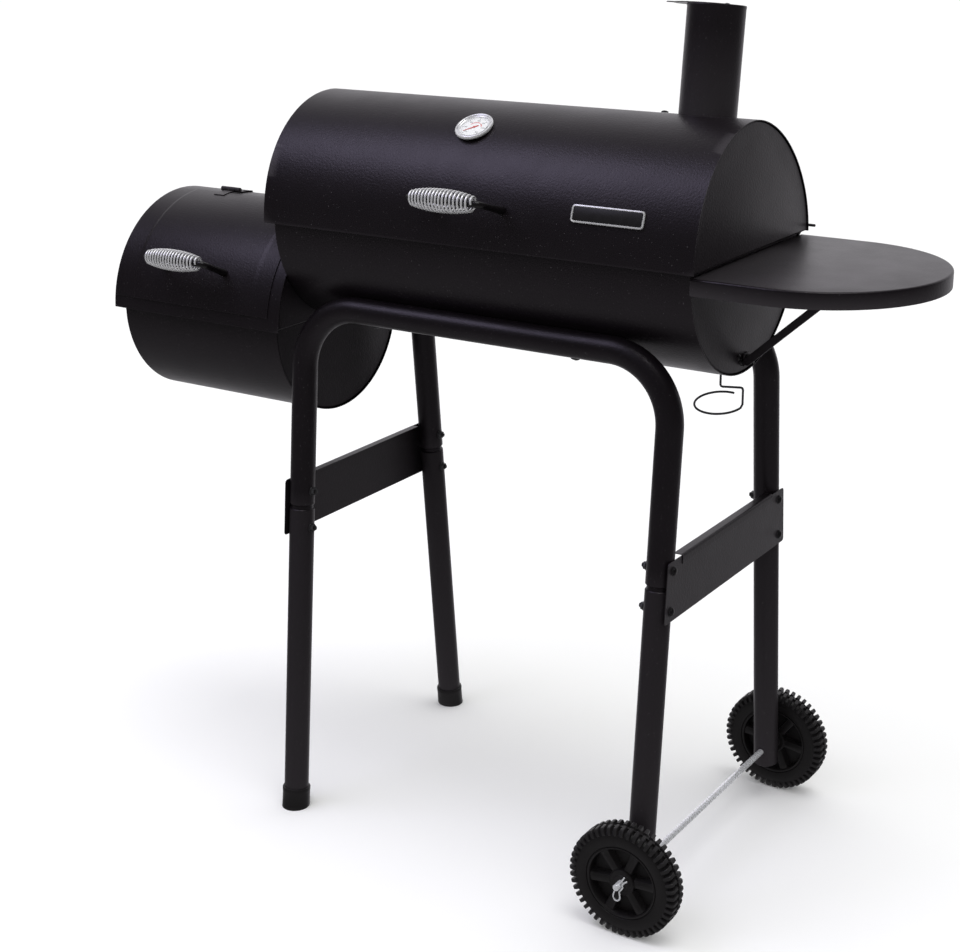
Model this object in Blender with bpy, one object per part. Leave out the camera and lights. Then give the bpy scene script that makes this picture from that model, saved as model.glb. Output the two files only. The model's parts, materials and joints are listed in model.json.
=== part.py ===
"""Barrel charcoal grill with an offset firebox, on a wheeled stand of bent tubes.

Metres, +Z up, +X towards the side shelf and +Y towards the back. Distances along X are
laid out from the middle of the barrel, and GRILL_X then moves the whole grill so that the
origin is in the middle of the floor area that it covers.
"""
import math

import bmesh
import bpy
from mathutils import Matrix, Vector

# ---- sheet metal and play ------------------------------------------------------------
SHEET = 0.0012            # thickness of every pressed sheet
GAP = 0.0003              # play between pieces that touch
PLATE = 0.0020            # thickness of hinge leaves and brackets

# ---- barrel: trough below, lid above ---------------------------------------------------
SEAM_Z = 0.9234           # height of the lid's lower edge
BARREL_R = 0.1695
BARREL_HALF = 0.3400      # half the trough's length
RIM = 0.0080              # how far the trough's rim stands up inside the lid
LID_HALF = 0.3500
LID_H = 0.1770            # height of the lid above its lower edge
LID_PEAK_Y = -0.0120      # the lid is fuller in front than behind
LID_FRONT_Y = -0.1810
LID_BACK_Y = 0.1795
LID_FRONT_POWER = 2.06
LID_BACK_POWER = 1.75
PAN_DEPTH = 0.0120        # flange of every pressed end panel
PAN_INSET = 0.0015

# ---- chimney and damper ----------------------------------------------------------------
CHIMNEY_X = 0.2630
CHIMNEY_Y = 0.0220
CHIMNEY_R = 0.0396
CHIMNEY_LEAN = math.radians(7.1)
CHIMNEY_TOP = 1.2415
CHIMNEY_INSIDE = 0.0180
DAMPER_R = 0.0415
DAMPER_PIVOT = 0.0310     # from the chimney's axis back to the rivet
DAMPER_OPEN = math.radians(57.6)
RIVET_R = 0.0020

# ---- lid and door fittings ---------------------------------------------------------------
LID_HINGE_X = 0.3180
LID_HINGE_Y = 0.1865
LID_HINGE_Z = 0.9300
HINGE_PIN_R = 0.0020
HINGE_PIN_OUT = 0.0200    # how far the lid pins stick out past their leaves
KNUCKLE_R = 0.0038
KNUCKLE_HALF = 0.0100     # half the moving knuckle's length
HINGE_HALF = 0.0190
GRIP_HALF = 0.0510        # half the coil's length
GRIP_R = 0.0165
GRIP_END_R = 0.0110
GRIP_ROD_R = 0.0050
GRIP_FOOT_X = 0.0590
LID_GRIP = (-0.2290, 0.9945)
LID_GRIP_FOOT = math.radians(17.5)
DIAL_X = -0.0296
DIAL_ANGLE = math.radians(122.5)
DIAL_R = 0.0276
DIAL_DEPTH = 0.0052
DIAL_TILT = math.radians(3.0)
BADGE_X = 0.2200
BADGE_SIZE = (0.1080, 0.0240, 0.0020)

# ---- stand -------------------------------------------------------------------------------
TUBE_R = 0.01905
TUBE_WALL = 0.0012
TUBE_SIDES = 12
LEG_X = 0.3070
LEG_Y_FLOOR = 0.2170      # half the spacing of the legs' centre lines at the floor
LEG_SPLAY = 0.0916        # lean towards the middle for each metre of height
BEND_R = 0.0950
JOINT_Z = 0.4880          # where a lower leg plugs into the bent tube
PLUG = 0.0450
BRACE_Z = (0.4440, 0.5310)
BRACE_FLANGE = 0.0120
BOLT_Z = (0.4590, 0.5160)
BOLT_R = 0.0030
FOOT_R = 0.0218
FOOT_H = 0.0330
WHEEL_R = 0.0826
WHEEL_WIDTH = 0.0348
WHEEL_OUTER_Y = 0.2674
RIM_R = 0.0528
AXLE_R = 0.0048
AXLE_HALF = 0.2800
AXLE_PIN_Y = 0.2735
CLIP_WIRE_R = 0.0011
WHEEL_LEG_END = 0.0580

# ---- side shelf and its strut ------------------------------------------------------------
SHELF_Z = 0.9185
SHELF_HALF = 0.1750
SHELF_RIGHT = 0.6160
SHELF_APRON = 0.0225
STRUT_WIDTH = 0.0110
STRUT_THICK = 0.0030
STRUT_TAB = 0.0150
STRUT_FOOT_Z = 0.7650
STRUT_RUN = 0.7450
STRUT_RISE = 0.6670

# ---- firebox -----------------------------------------------------------------------------
FIRE_Z = 0.7490           # centre height of both half shells
FIRE_LOW_R = 0.1527
FIRE_UP_R = 0.1730
FIRE_SEAM_Z = 0.7556
FIRE_LOW_X = (-0.6690, -0.3605)
FIRE_UP_X = (-0.6720, -0.3404)
DOOR_X = (-0.6670, -0.3610)
DOOR_HOLE_X = (-0.6340, -0.3880)
DOOR_LOW = math.radians(8.8)
DOOR_HIGH = math.radians(85.5)
DOOR_HOLE = (math.radians(16.0), math.radians(78.0))
DOOR_MID_X = -0.5140
DOOR_HINGE_X = (-0.5700, -0.4580)
DOOR_GRIP = (-0.2020, 0.8530)
DOOR_GRIP_FOOT = math.radians(28.0)
FLUE_R = 0.0550           # smoke passage from the firebox into the barrel
FLUE_Z = 0.8350
SHUTTER_Z = 0.6950
SHUTTER_R = 0.0420
SHUTTER_HOLE_R = 0.0085
SHUTTER_RING = 0.0210
SHUTTER_HOLES = 4
SHUTTER_KNOB = 0.0085

# ---- grates and the grease hook ------------------------------------------------------------
COOK_Z = 0.8720
COAL_Z = 0.8000
FIRE_GRATE_Z = 0.6640
GRATE_THICK = 0.0040
HOOK_X = 0.3060
HOOK_WIRE_R = 0.0017

GRILL_X = -(FIRE_LOW_X[0] - SHUTTER_KNOB + SHELF_RIGHT) / 2

# ---- finishes: colour, roughness, metallic -------------------------------------------------
BLACK_PAINT = ((0.020, 0.020, 0.023), 0.45, 0.0)
CHROME = ((0.80, 0.80, 0.82), 0.12, 1.0)
ZINC = ((0.62, 0.63, 0.65), 0.30, 1.0)
BLACK_BOLT = ((0.015, 0.015, 0.015), 0.40, 0.4)
BLACK_PLASTIC = ((0.018, 0.018, 0.019), 0.55, 0.0)
ENAMEL = ((0.030, 0.030, 0.032), 0.35, 0.1)
NEEDLE_RED = ((0.60, 0.03, 0.02), 0.45, 0.0)
GLASS = ((0.90, 0.93, 0.95), 0.05, 0.0)

# Maps a drawing's (u, v, w) to (Y, Z, X): sections are drawn in YZ and run along X.
SECTION = Matrix(((0, 0, 1, 0), (1, 0, 0, 0), (0, 1, 0, 0), (0, 0, 0, 1)))
# Maps a drawing's (u, v, w) to (X, Z, Y): for strips drawn in XZ.
SIDEWAYS = Matrix(((1, 0, 0, 0), (0, 0, 1, 0), (0, 1, 0, 0), (0, 0, 0, 1)))
IDENTITY = Matrix.Identity(4)


def clear_scene():
    for item in list(bpy.data.objects):
        bpy.data.objects.remove(item, do_unlink=True)


def make_material(name, finish):
    colour, roughness, metallic = finish
    material = bpy.data.materials.new(name)
    material.use_nodes = True
    shader = material.node_tree.nodes["Principled BSDF"]
    shader.inputs["Base Color"].default_value = (*colour, 1.0)
    shader.inputs["Roughness"].default_value = roughness
    shader.inputs["Metallic"].default_value = metallic
    material.diffuse_color = (*colour, 1.0)
    return material


def mesh_object(name, verts, faces, finish=None, sharp=40.0):
    """A closed mesh with outward normals, shaded smooth except at sharp edges."""
    mesh = bpy.data.meshes.new(name)
    shape = bmesh.new()
    corners = [shape.verts.new(v) for v in verts]
    for face in faces:
        shape.faces.new([corners[i] for i in face])
    bmesh.ops.recalc_face_normals(shape, faces=shape.faces)
    shape.to_mesh(mesh)
    shape.free()
    return link_object(name, mesh, finish, sharp)


def link_object(name, mesh, finish, sharp=40.0):
    mesh.shade_smooth()
    mesh.set_sharp_from_angle(angle=math.radians(sharp))
    item = bpy.data.objects.new(name, mesh)
    bpy.context.scene.collection.objects.link(item)
    if finish:
        mesh.materials.clear()
        mesh.materials.append(make_material(name, finish))
    return item


def combine(target, tool, operation):
    """Boolean with the exact solver; the tool is used up."""
    step = target.modifiers.new("combine", "BOOLEAN")
    step.operation = operation
    step.solver = "EXACT"
    step.object = tool
    view = bpy.context.evaluated_depsgraph_get()
    result = bpy.data.meshes.new_from_object(target.evaluated_get(view))
    target.modifiers.remove(step)
    materials = list(target.data.materials)
    target.data = result
    result.materials.clear()
    for material in materials:
        result.materials.append(material)
    result.shade_smooth()
    result.set_sharp_from_angle(angle=math.radians(40.0))
    bpy.data.objects.remove(tool, do_unlink=True)
    return target


def join(target, *tools):
    for tool in tools:
        combine(target, tool, "UNION")
    return target


def cut(target, *tools):
    for tool in tools:
        combine(target, tool, "DIFFERENCE")
    return target


# ---- generic solids ------------------------------------------------------------------------
def arc(centre, radius, start, end, steps):
    """Points on a circle in a section, angles in radians from the +u axis."""
    points = []
    for i in range(steps + 1):
        angle = start + (end - start) * i / steps
        points.append((centre[0] + radius * math.cos(angle), centre[1] + radius * math.sin(angle)))
    return points


def offset(points, distance):
    """An open outline moved sideways, to its left for a positive distance."""
    moved = []
    for i, point in enumerate(points):
        before = Vector(points[max(i - 1, 0)])
        after = Vector(points[min(i + 1, len(points) - 1)])
        here = Vector(point)
        first = (here - before).normalized() if i else (after - here).normalized()
        second = (after - here).normalized() if i < len(points) - 1 else first
        side = Vector((-(first.y + second.y), first.x + second.x)).normalized()
        stretch = max(side.dot(Vector((-first.y, first.x))), 0.5)
        moved.append(tuple(here + side * distance / stretch))
    return moved


def ribbon(name, points, thickness, start, end, finish=None, place=SECTION):
    """A bent sheet: an open outline, thickened to its left, running from start to end."""
    inner = offset(points, thickness)
    count = len(points)
    verts = []
    for w in (start, end):
        verts += [place @ Vector((u, v, w)) for u, v in points]
        verts += [place @ Vector((u, v, w)) for u, v in inner]
    faces = []
    far = 2 * count
    for i in range(count - 1):
        faces.append((i, i + 1, far + i + 1, far + i))
        faces.append((count + i, count + i + 1, far + count + i + 1, far + count + i))
        faces.append((i, i + 1, count + i + 1, count + i))
        faces.append((far + i, far + i + 1, far + count + i + 1, far + count + i))
    for i in (0, count - 1):
        faces.append((i, count + i, far + count + i, far + i))
    return mesh_object(name, verts, faces, finish)


def prism(name, outline, start, end, finish=None, place=SECTION):
    count = len(outline)
    verts = [place @ Vector((u, v, w)) for w in (start, end) for u, v in outline]
    faces = [tuple(range(count)), tuple(range(count, 2 * count))]
    for i in range(count):
        j = (i + 1) % count
        faces.append((i, j, count + j, count + i))
    return mesh_object(name, verts, faces, finish)


def pan(name, outline, rim, floor, finish, place=SECTION):
    """A pressed pan: a flange from rim to floor round a flat sheet at floor."""
    inner = inset_outline(outline, SHEET)
    inside = floor + math.copysign(SHEET, rim - floor)
    rings = [(outline, floor), (outline, rim), (inner, rim), (inner, inside)]
    count = len(outline)
    verts = [place @ Vector((u, v, w)) for ring, w in rings for u, v in ring]
    faces = [tuple(range(count)), tuple(range(3 * count, 4 * count))]
    for k in range(3):
        for i in range(count):
            j = (i + 1) % count
            faces.append((k * count + i, k * count + j, (k + 1) * count + j, (k + 1) * count + i))
    return mesh_object(name, verts, faces, finish)


def inset_outline(outline, distance):
    """A closed outline moved inwards; the outline runs anticlockwise."""
    closed = [outline[-1]] + list(outline) + [outline[0]]
    return offset(closed, distance)[1:-1]


def lathe(name, profile, segments, place, finish=None):
    """Turns a closed (radius, height) profile round the local Z axis of place."""
    verts = []
    index = []
    for r, w in profile:
        if r < 1e-7:
            index.append([len(verts)] * segments)
            verts.append(place @ Vector((0, 0, w)))
            continue
        index.append(list(range(len(verts), len(verts) + segments)))
        for k in range(segments):
            angle = 2 * math.pi * k / segments
            verts.append(place @ Vector((r * math.cos(angle), r * math.sin(angle), w)))
    faces = []
    for i in range(len(profile)):
        j = (i + 1) % len(profile)
        if profile[i][0] < 1e-7 and profile[j][0] < 1e-7:
            continue
        for k in range(segments):
            m = (k + 1) % segments
            corners = [index[i][k], index[i][m], index[j][m], index[j][k]]
            faces.append(tuple(dict.fromkeys(corners)))
    return mesh_object(name, verts, faces, finish)


def rod(name, radius, start, end, place, segments=16, finish=None):
    return lathe(name, [(0, start), (radius, start), (radius, end), (0, end)], segments, place, finish)


def sweep(name, path, radius, sides, finish=None, bore=None):
    """A round bar, or a tube when bore is given, along a list of points."""
    points = [Vector(p) for p in path]
    tangents = []
    for i in range(len(points)):
        before = points[max(i - 1, 0)]
        after = points[min(i + 1, len(points) - 1)]
        tangents.append((after - before).normalized())
    guide = Vector((1, 0, 0)) if abs(tangents[0].x) < 0.9 else Vector((0, 1, 0))
    side = (guide - tangents[0] * guide.dot(tangents[0])).normalized()
    verts = []
    radii = [radius] if bore is None else [radius, bore]
    for point, tangent in zip(points, tangents):
        side = (side - tangent * side.dot(tangent)).normalized()
        up = tangent.cross(side)
        for r in radii:
            for k in range(sides):
                angle = 2 * math.pi * k / sides
                verts.append(point + side * r * math.cos(angle) + up * r * math.sin(angle))
    stride = sides * len(radii)
    faces = []
    for i in range(len(points) - 1):
        for layer in range(len(radii)):
            for k in range(sides):
                a = i * stride + layer * sides + k
                b = i * stride + layer * sides + (k + 1) % sides
                faces.append((a, b, b + stride, a + stride))
    for i in (0, len(points) - 1):
        base = i * stride
        if bore is None:
            faces.append(tuple(range(base, base + sides)))
            continue
        for k in range(sides):
            m = (k + 1) % sides
            faces.append((base + k, base + m, base + sides + m, base + sides + k))
    return mesh_object(name, verts, faces, finish)


def grid(name, columns, rows, bottom, finish):
    """A flat grating with oblong openings; columns and rows alternate bar and opening."""
    index = {}
    verts = []
    faces = []

    def corner(i, j, top):
        key = (i, j, top)
        if key not in index:
            index[key] = len(verts)
            height = bottom + GRATE_THICK if top else bottom
            verts.append(Vector((columns[i], rows[j], height)))
        return index[key]

    def filled(i, j):
        inside = 0 <= i < len(columns) - 1 and 0 <= j < len(rows) - 1
        return inside and not (i % 2 == 1 and j % 2 == 1)

    for i in range(len(columns) - 1):
        for j in range(len(rows) - 1):
            if not filled(i, j):
                continue
            square = ((i, j), (i + 1, j), (i + 1, j + 1), (i, j + 1))
            faces.append([corner(a, b, True) for a, b in square])
            faces.append([corner(a, b, False) for a, b in square])
            neighbours = ((i, j - 1), (i + 1, j), (i, j + 1), (i - 1, j))
            for k, neighbour in enumerate(neighbours):
                if not filled(*neighbour):
                    a = square[k]
                    b = square[(k + 1) % 4]
                    faces.append([corner(*a, False), corner(*b, False),
                                  corner(*b, True), corner(*a, True)])
    return mesh_object(name, verts, faces, finish)


def slats(start, end, count, bar):
    """Alternating bar and opening edges from start to end with count openings."""
    opening = (end - start - bar * (count + 1)) / count
    edges = [start]
    for _ in range(count):
        edges.append(edges[-1] + bar)
        edges.append(edges[-1] + opening)
    edges.append(end)
    return edges


def place_at(point, normal, across=(1, 0, 0)):
    """A placement whose Z is the normal and whose X is as near across as can be."""
    z = Vector(normal).normalized()
    x = Vector(across)
    x = (x - z * x.dot(z)).normalized()
    y = z.cross(x)
    matrix = Matrix((x, y, z)).transposed().to_4x4()
    matrix.translation = Vector(point)
    return matrix


# ---- outlines ------------------------------------------------------------------------------
def lid_outline(steps, start=0.0, end=math.pi):
    """The lid's outer surface in YZ, from the front edge over the top to the back."""
    points = []
    for i in range(steps + 1):
        points.append(lid_point(start + (end - start) * i / steps))
    return points


def lid_point(angle):
    """A point on the lid; the angle is 0 at the front edge and pi at the back."""
    c = math.cos(angle)
    s = max(math.sin(angle), 0.0)
    power = LID_FRONT_POWER if c > 0 else LID_BACK_POWER
    reach = LID_PEAK_Y - LID_FRONT_Y if c > 0 else LID_BACK_Y - LID_PEAK_Y
    y = LID_PEAK_Y - math.copysign(reach * abs(c) ** (2 / power), c)
    return (y, SEAM_Z + LID_H * s ** (2 / power))


def lid_normal(angle):
    """The lid's outward direction in YZ."""
    before = Vector(lid_point(angle - 0.01))
    after = Vector(lid_point(angle + 0.01))
    along = (after - before).normalized()
    return Vector((-along.y, along.x))


def trough_outline(radius, steps):
    bowl = arc((0, SEAM_Z), radius, math.pi, 2 * math.pi, steps)
    return [(-radius, SEAM_Z + RIM)] + bowl + [(radius, SEAM_Z + RIM)]


def fire_point(radius, angle):
    """A point on the firebox, the angle measured upwards from its front."""
    return (-radius * math.cos(angle), FIRE_Z + radius * math.sin(angle))


def leg_y(height):
    return LEG_Y_FLOOR - LEG_SPLAY * height


def bar_height():
    """Height at which the top bar's centre line lets the tube touch the trough."""
    reach = BARREL_R + TUBE_R + GAP
    flat = leg_y(SEAM_Z)
    a = 1 + LEG_SPLAY ** 2
    b = 2 * flat * LEG_SPLAY
    c = flat ** 2 - reach ** 2
    return SEAM_Z - (-b + math.sqrt(b * b - 4 * a * c)) / (2 * a)


def leg_frame(side_x, side_y):
    """Placement of a leg: origin at the floor, Z up along its centre line."""
    up = Vector((0, -side_y * LEG_SPLAY, 1))
    return place_at((side_x * LEG_X, side_y * LEG_Y_FLOOR, 0), up)


def along_leg(height):
    return height * math.sqrt(1 + LEG_SPLAY ** 2)


# ---- barrel ----------------------------------------------------------------------------------
def build_trough():
    points = trough_outline(BARREL_R, 32)
    trough = ribbon("barrel_trough", points, SHEET, -BARREL_HALF, BARREL_HALF, BLACK_PAINT)
    drain = rod("drain_cutter", HOOK_WIRE_R + GAP, -0.01, 0.01,
                Matrix.Translation((HOOK_X, 0, SEAM_Z - BARREL_R)), 8)
    cut(trough, drain)
    radius = BARREL_R - SHEET - GAP
    bowl = arc((0, SEAM_Z), radius, math.pi, 2 * math.pi, 28)
    outline = [(-radius, SEAM_Z + RIM)] + bowl + [(radius, SEAM_Z + RIM)]
    ends = []
    for name, side in (("barrel_end_left", -1), ("barrel_end_right", 1)):
        floor = side * (BARREL_HALF - PAN_INSET)
        rim = floor - side * PAN_DEPTH
        ends.append(pan(name, outline, rim, floor, BLACK_PAINT))
    flue = rod("flue_cutter", FLUE_R, -0.01, 0.01,
               place_at((-BARREL_HALF, 0, FLUE_Z), (1, 0, 0), (0, 1, 0)), 24)
    cut(ends[0], flue)
    return [trough] + ends


def chimney_frame():
    """Placement on the chimney's axis where it leaves the lid, Z along the pipe."""
    angle = math.pi / 2 + 0.18
    height = lid_point(angle)[1]
    lean = (0, math.sin(CHIMNEY_LEAN), math.cos(CHIMNEY_LEAN))
    return place_at((CHIMNEY_X, CHIMNEY_Y, height), lean)


def dial_frame():
    angle = math.pi - DIAL_ANGLE
    y, z = lid_point(angle)
    normal = lid_normal(angle)
    return place_at((DIAL_X, y, z), (0, normal.x, normal.y)) @ Matrix.Rotation(-DIAL_TILT, 4, "X")


def build_lid():
    shell = ribbon("lid_shell", list(reversed(lid_outline(36))), SHEET, -LID_HALF, LID_HALF, BLACK_PAINT)
    stack = rod("stack_cutter", CHIMNEY_R + 2 * GAP, -0.04, 0.04, chimney_frame(), 32)
    probe = rod("probe_cutter", 0.0046, -0.02, 0.02, dial_frame(), 12)
    cut(shell, stack, probe)
    outer = lid_outline(32)
    inside = offset(outer, -(SHEET + GAP))
    inside[0] = (inside[0][0], SEAM_Z)
    inside[-1] = (inside[-1][0], SEAM_Z)
    outline = list(reversed(inside))
    pieces = [shell]
    for name, side in (("lid_end_left", -1), ("lid_end_right", 1)):
        floor = side * (LID_HALF - PAN_INSET)
        rim = floor - side * PAN_DEPTH * 0.5
        pieces.append(pan(name, outline, rim, floor, BLACK_PAINT))
    return pieces


def build_chimney():
    frame = chimney_frame()
    length = (CHIMNEY_TOP - frame.translation.z) / math.cos(CHIMNEY_LEAN)
    wall = CHIMNEY_R - SHEET
    pipe = lathe("chimney_pipe", [(CHIMNEY_R, -CHIMNEY_INSIDE), (CHIMNEY_R, length),
                                  (wall, length), (wall, -CHIMNEY_INSIDE)], 32, frame, BLACK_PAINT)
    top = frame @ Matrix.Translation((0, 0, length))
    ear = prism("rivet_ear", [(-0.006, 0.025), (0.006, 0.025), (0.006, wall + 0.0005),
                              (-0.006, wall + 0.0005)], -0.0035, -0.0015, None, top)
    pivot = top @ Matrix.Translation((0, DAMPER_PIVOT, 0))
    rivet = lathe("rivet", [(0, -0.0025), (RIVET_R, -0.0025), (RIVET_R, 0.0022), (0.0042, 0.0022),
                            (0.0036, 0.0036), (0, 0.0040)], 12, pivot)
    join(pipe, ear, rivet)
    turned = pivot @ Matrix.Rotation(-DAMPER_OPEN, 4, "Z")
    centre = turned @ Matrix.Translation((0, -DAMPER_PIVOT, 0))
    half_tab = 0.006
    open_angle = math.asin(half_tab / DAMPER_R)
    outline = arc((0, 0), DAMPER_R, open_angle - math.pi / 2, 3 * math.pi / 2 - open_angle, 28)
    outline += [(-half_tab, -DAMPER_R - 0.009), (half_tab, -DAMPER_R - 0.009)]
    damper = prism("chimney_damper", outline, 0.0006, 0.0018, BLACK_PAINT, centre)
    cut(damper, rod("rivet_cutter", RIVET_R + GAP, -0.01, 0.01, pivot, 12))
    return pipe, damper, pivot


def grip_profile(radius_scale):
    """Half of the coil's barrel shape, from its middle to one end."""
    points = []
    for i in range(4):
        t = i / 3
        points.append((GRIP_END_R + (GRIP_R - GRIP_END_R) * (1 - t ** 2.2) - radius_scale, t * GRIP_HALF))
    return points


def build_grip(prefix, middle_x, line, foot, foot_direction):
    """A bent rod on two feet with a coil round it; line is (y, z) of the grip's axis."""
    half = grip_profile(0.0)
    outer = [(r, -w) for r, w in reversed(half[1:])] + half
    bore = GRIP_ROD_R + 2 * GAP
    hollow = [(r, -w) for r, w in reversed(grip_profile(0.0022)[1:])] + grip_profile(0.0022)
    hollow = [(r, w * 0.96) for r, w in hollow]
    profile = [(bore, -GRIP_HALF)] + outer + [(bore, GRIP_HALF), (bore, GRIP_HALF * 0.96)]
    profile += list(reversed(hollow)) + [(bore, -GRIP_HALF * 0.96)]
    axis = place_at((middle_x, *line), (1, 0, 0), (0, 1, 0))
    coil = lathe(prefix + "_coil", profile, 12, axis, CHROME)
    start = Vector((0, *foot)) + Vector((0, *foot_direction)) * GAP
    bend = 0.0100
    grip = Vector((0, *line))
    reach = grip - start
    corner = grip - reach.normalized() * bend
    right = [start + Vector((GRIP_FOOT_X, 0, 0)), corner + Vector((GRIP_FOOT_X, 0, 0))]
    for i in range(1, 5):
        t = i / 4 * math.pi / 2
        right.append(corner + reach.normalized() * bend * math.sin(t)
                     + Vector((GRIP_FOOT_X - bend * 0.85 * (1 - math.cos(t)), 0, 0)))
    left = [Vector((-p.x, p.y, p.z)) for p in right]
    path = [p + Vector((middle_x, 0, 0)) for p in left + list(reversed(right))]
    bar = sweep(prefix + "_rod", path, GRIP_ROD_R, 8, BLACK_PAINT)
    return [bar, coil]


def build_lid_fittings():
    foot = lid_point(LID_GRIP_FOOT)
    normal = lid_normal(LID_GRIP_FOOT)
    pieces = build_grip("lid_grip", 0.0, LID_GRIP, foot, normal)
    frame = dial_frame()
    base = 0.0006
    cup = [(0.0, -0.052), (0.0015, -0.052), (0.0030, -0.046), (0.0040, -0.014), (0.0040, base),
           (DIAL_R - 0.002, base), (DIAL_R, base + 0.002), (DIAL_R, base + DIAL_DEPTH),
           (DIAL_R - 0.0022, base + DIAL_DEPTH), (DIAL_R - 0.0022, base + 0.0012), (0.0, base + 0.0012)]
    pieces.append(lathe("thermometer_case", cup, 32, frame, CHROME))
    glass = base + DIAL_DEPTH - 0.0020
    pieces.append(rod("thermometer_glass", DIAL_R - 0.0026, glass, glass + 0.0014, frame, 32, GLASS))
    needle_z = base + 0.0018
    outline = [(-0.0008, -0.0055), (0.0008, -0.0055), (0.0011, 0.0), (0.0002, 0.0165),
               (-0.0002, 0.0165), (-0.0011, 0.0)]
    turn = frame @ Matrix.Rotation(math.radians(127.0), 4, "Z")
    pieces.append(prism("thermometer_needle", outline, needle_z, needle_z + 0.0006, NEEDLE_RED, turn))
    angle = math.radians(19.5)
    y, z = lid_point(angle)
    normal = lid_normal(angle)
    width, height, thick = BADGE_SIZE
    face = place_at((BADGE_X, y, z), (0, normal.x, normal.y))
    corner = 0.004
    outline = []
    for cx, cy, start in ((1, 1, 0), (-1, 1, 90), (-1, -1, 180), (1, -1, 270)):
        centre = (cx * (width / 2 - corner), cy * (height / 2 - corner))
        first = math.radians(start)
        outline += arc(centre, corner, first, first + math.pi / 2, 4)
    pieces.append(prism("badge_plate", outline, 0.0012, 0.0012 + thick, CHROME, face))
    return pieces, frame


def build_hinge(prefix, middle_x, axis, fixed_points, moving_points, pin_out=0.0):
    """A fixed leaf with its pin, and a moving leaf; the outlines start at the knuckle."""
    centre = place_at((middle_x, *axis), (1, 0, 0), (0, 1, 0))
    side = math.copysign(1.0, middle_x)
    fixed = ribbon(prefix + "_fixed", fixed_points, PLATE, middle_x - HINGE_HALF,
                   middle_x + HINGE_HALF, BLACK_PAINT)
    slot = rod("knuckle_space", KNUCKLE_R + 0.0012, -KNUCKLE_HALF - GAP, KNUCKLE_HALF + GAP, centre, 16)
    cut(fixed, slot)
    for k in (-1, 1):
        ends = sorted((k * (KNUCKLE_HALF + GAP), k * HINGE_HALF))
        join(fixed, rod("knuckle", KNUCKLE_R, *ends, centre, 16))
    reach = [-HINGE_HALF - 0.001, HINGE_HALF + 0.001]
    if pin_out:
        reach[1 if side > 0 else 0] = side * (HINGE_HALF + pin_out)
    join(fixed, rod("pin", HINGE_PIN_R, *reach, centre, 12))
    moving = ribbon(prefix + "_moving", moving_points, PLATE, middle_x - KNUCKLE_HALF,
                    middle_x + KNUCKLE_HALF, BLACK_PAINT)
    join(moving, rod("knuckle", KNUCKLE_R, -KNUCKLE_HALF, KNUCKLE_HALF, centre, 16))
    cut(moving, rod("bore", HINGE_PIN_R + GAP, -0.05, 0.05, centre, 12))
    return fixed, moving


def build_lid_hinges():
    axis = (LID_HINGE_Y, LID_HINGE_Z)
    bowl = [SEAM_Z - 0.036, SEAM_Z - 0.012]
    fixed_points = [(LID_HINGE_Y + PLATE / 2, LID_HINGE_Z - KNUCKLE_R * 0.6),
                    (LID_HINGE_Y + PLATE / 2, SEAM_Z - 0.003),
                    (BARREL_R + PLATE + GAP, bowl[1]),
                    (BARREL_R + PLATE + GAP, bowl[0])]
    surface = [lid_point(math.pi - a) for a in (0.15, 0.12, 0.09, 0.06)]
    outside = [tuple(Vector(p) + lid_normal(math.pi - a) * (GAP + PLATE))
               for p, a in zip(surface, (0.15, 0.12, 0.09, 0.06))]
    moving_points = [(LID_HINGE_Y, LID_HINGE_Z + KNUCKLE_R * 0.5)] + list(reversed(outside))
    fixed = []
    moving = []
    for name, x in (("lid_hinge_left", -LID_HINGE_X), ("lid_hinge_right", LID_HINGE_X)):
        leaf, flap = build_hinge(name, x, axis, list(reversed(fixed_points)),
                                 list(reversed(moving_points)), HINGE_PIN_OUT)
        fixed.append(leaf)
        moving.append(flap)
    return fixed, moving


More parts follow.
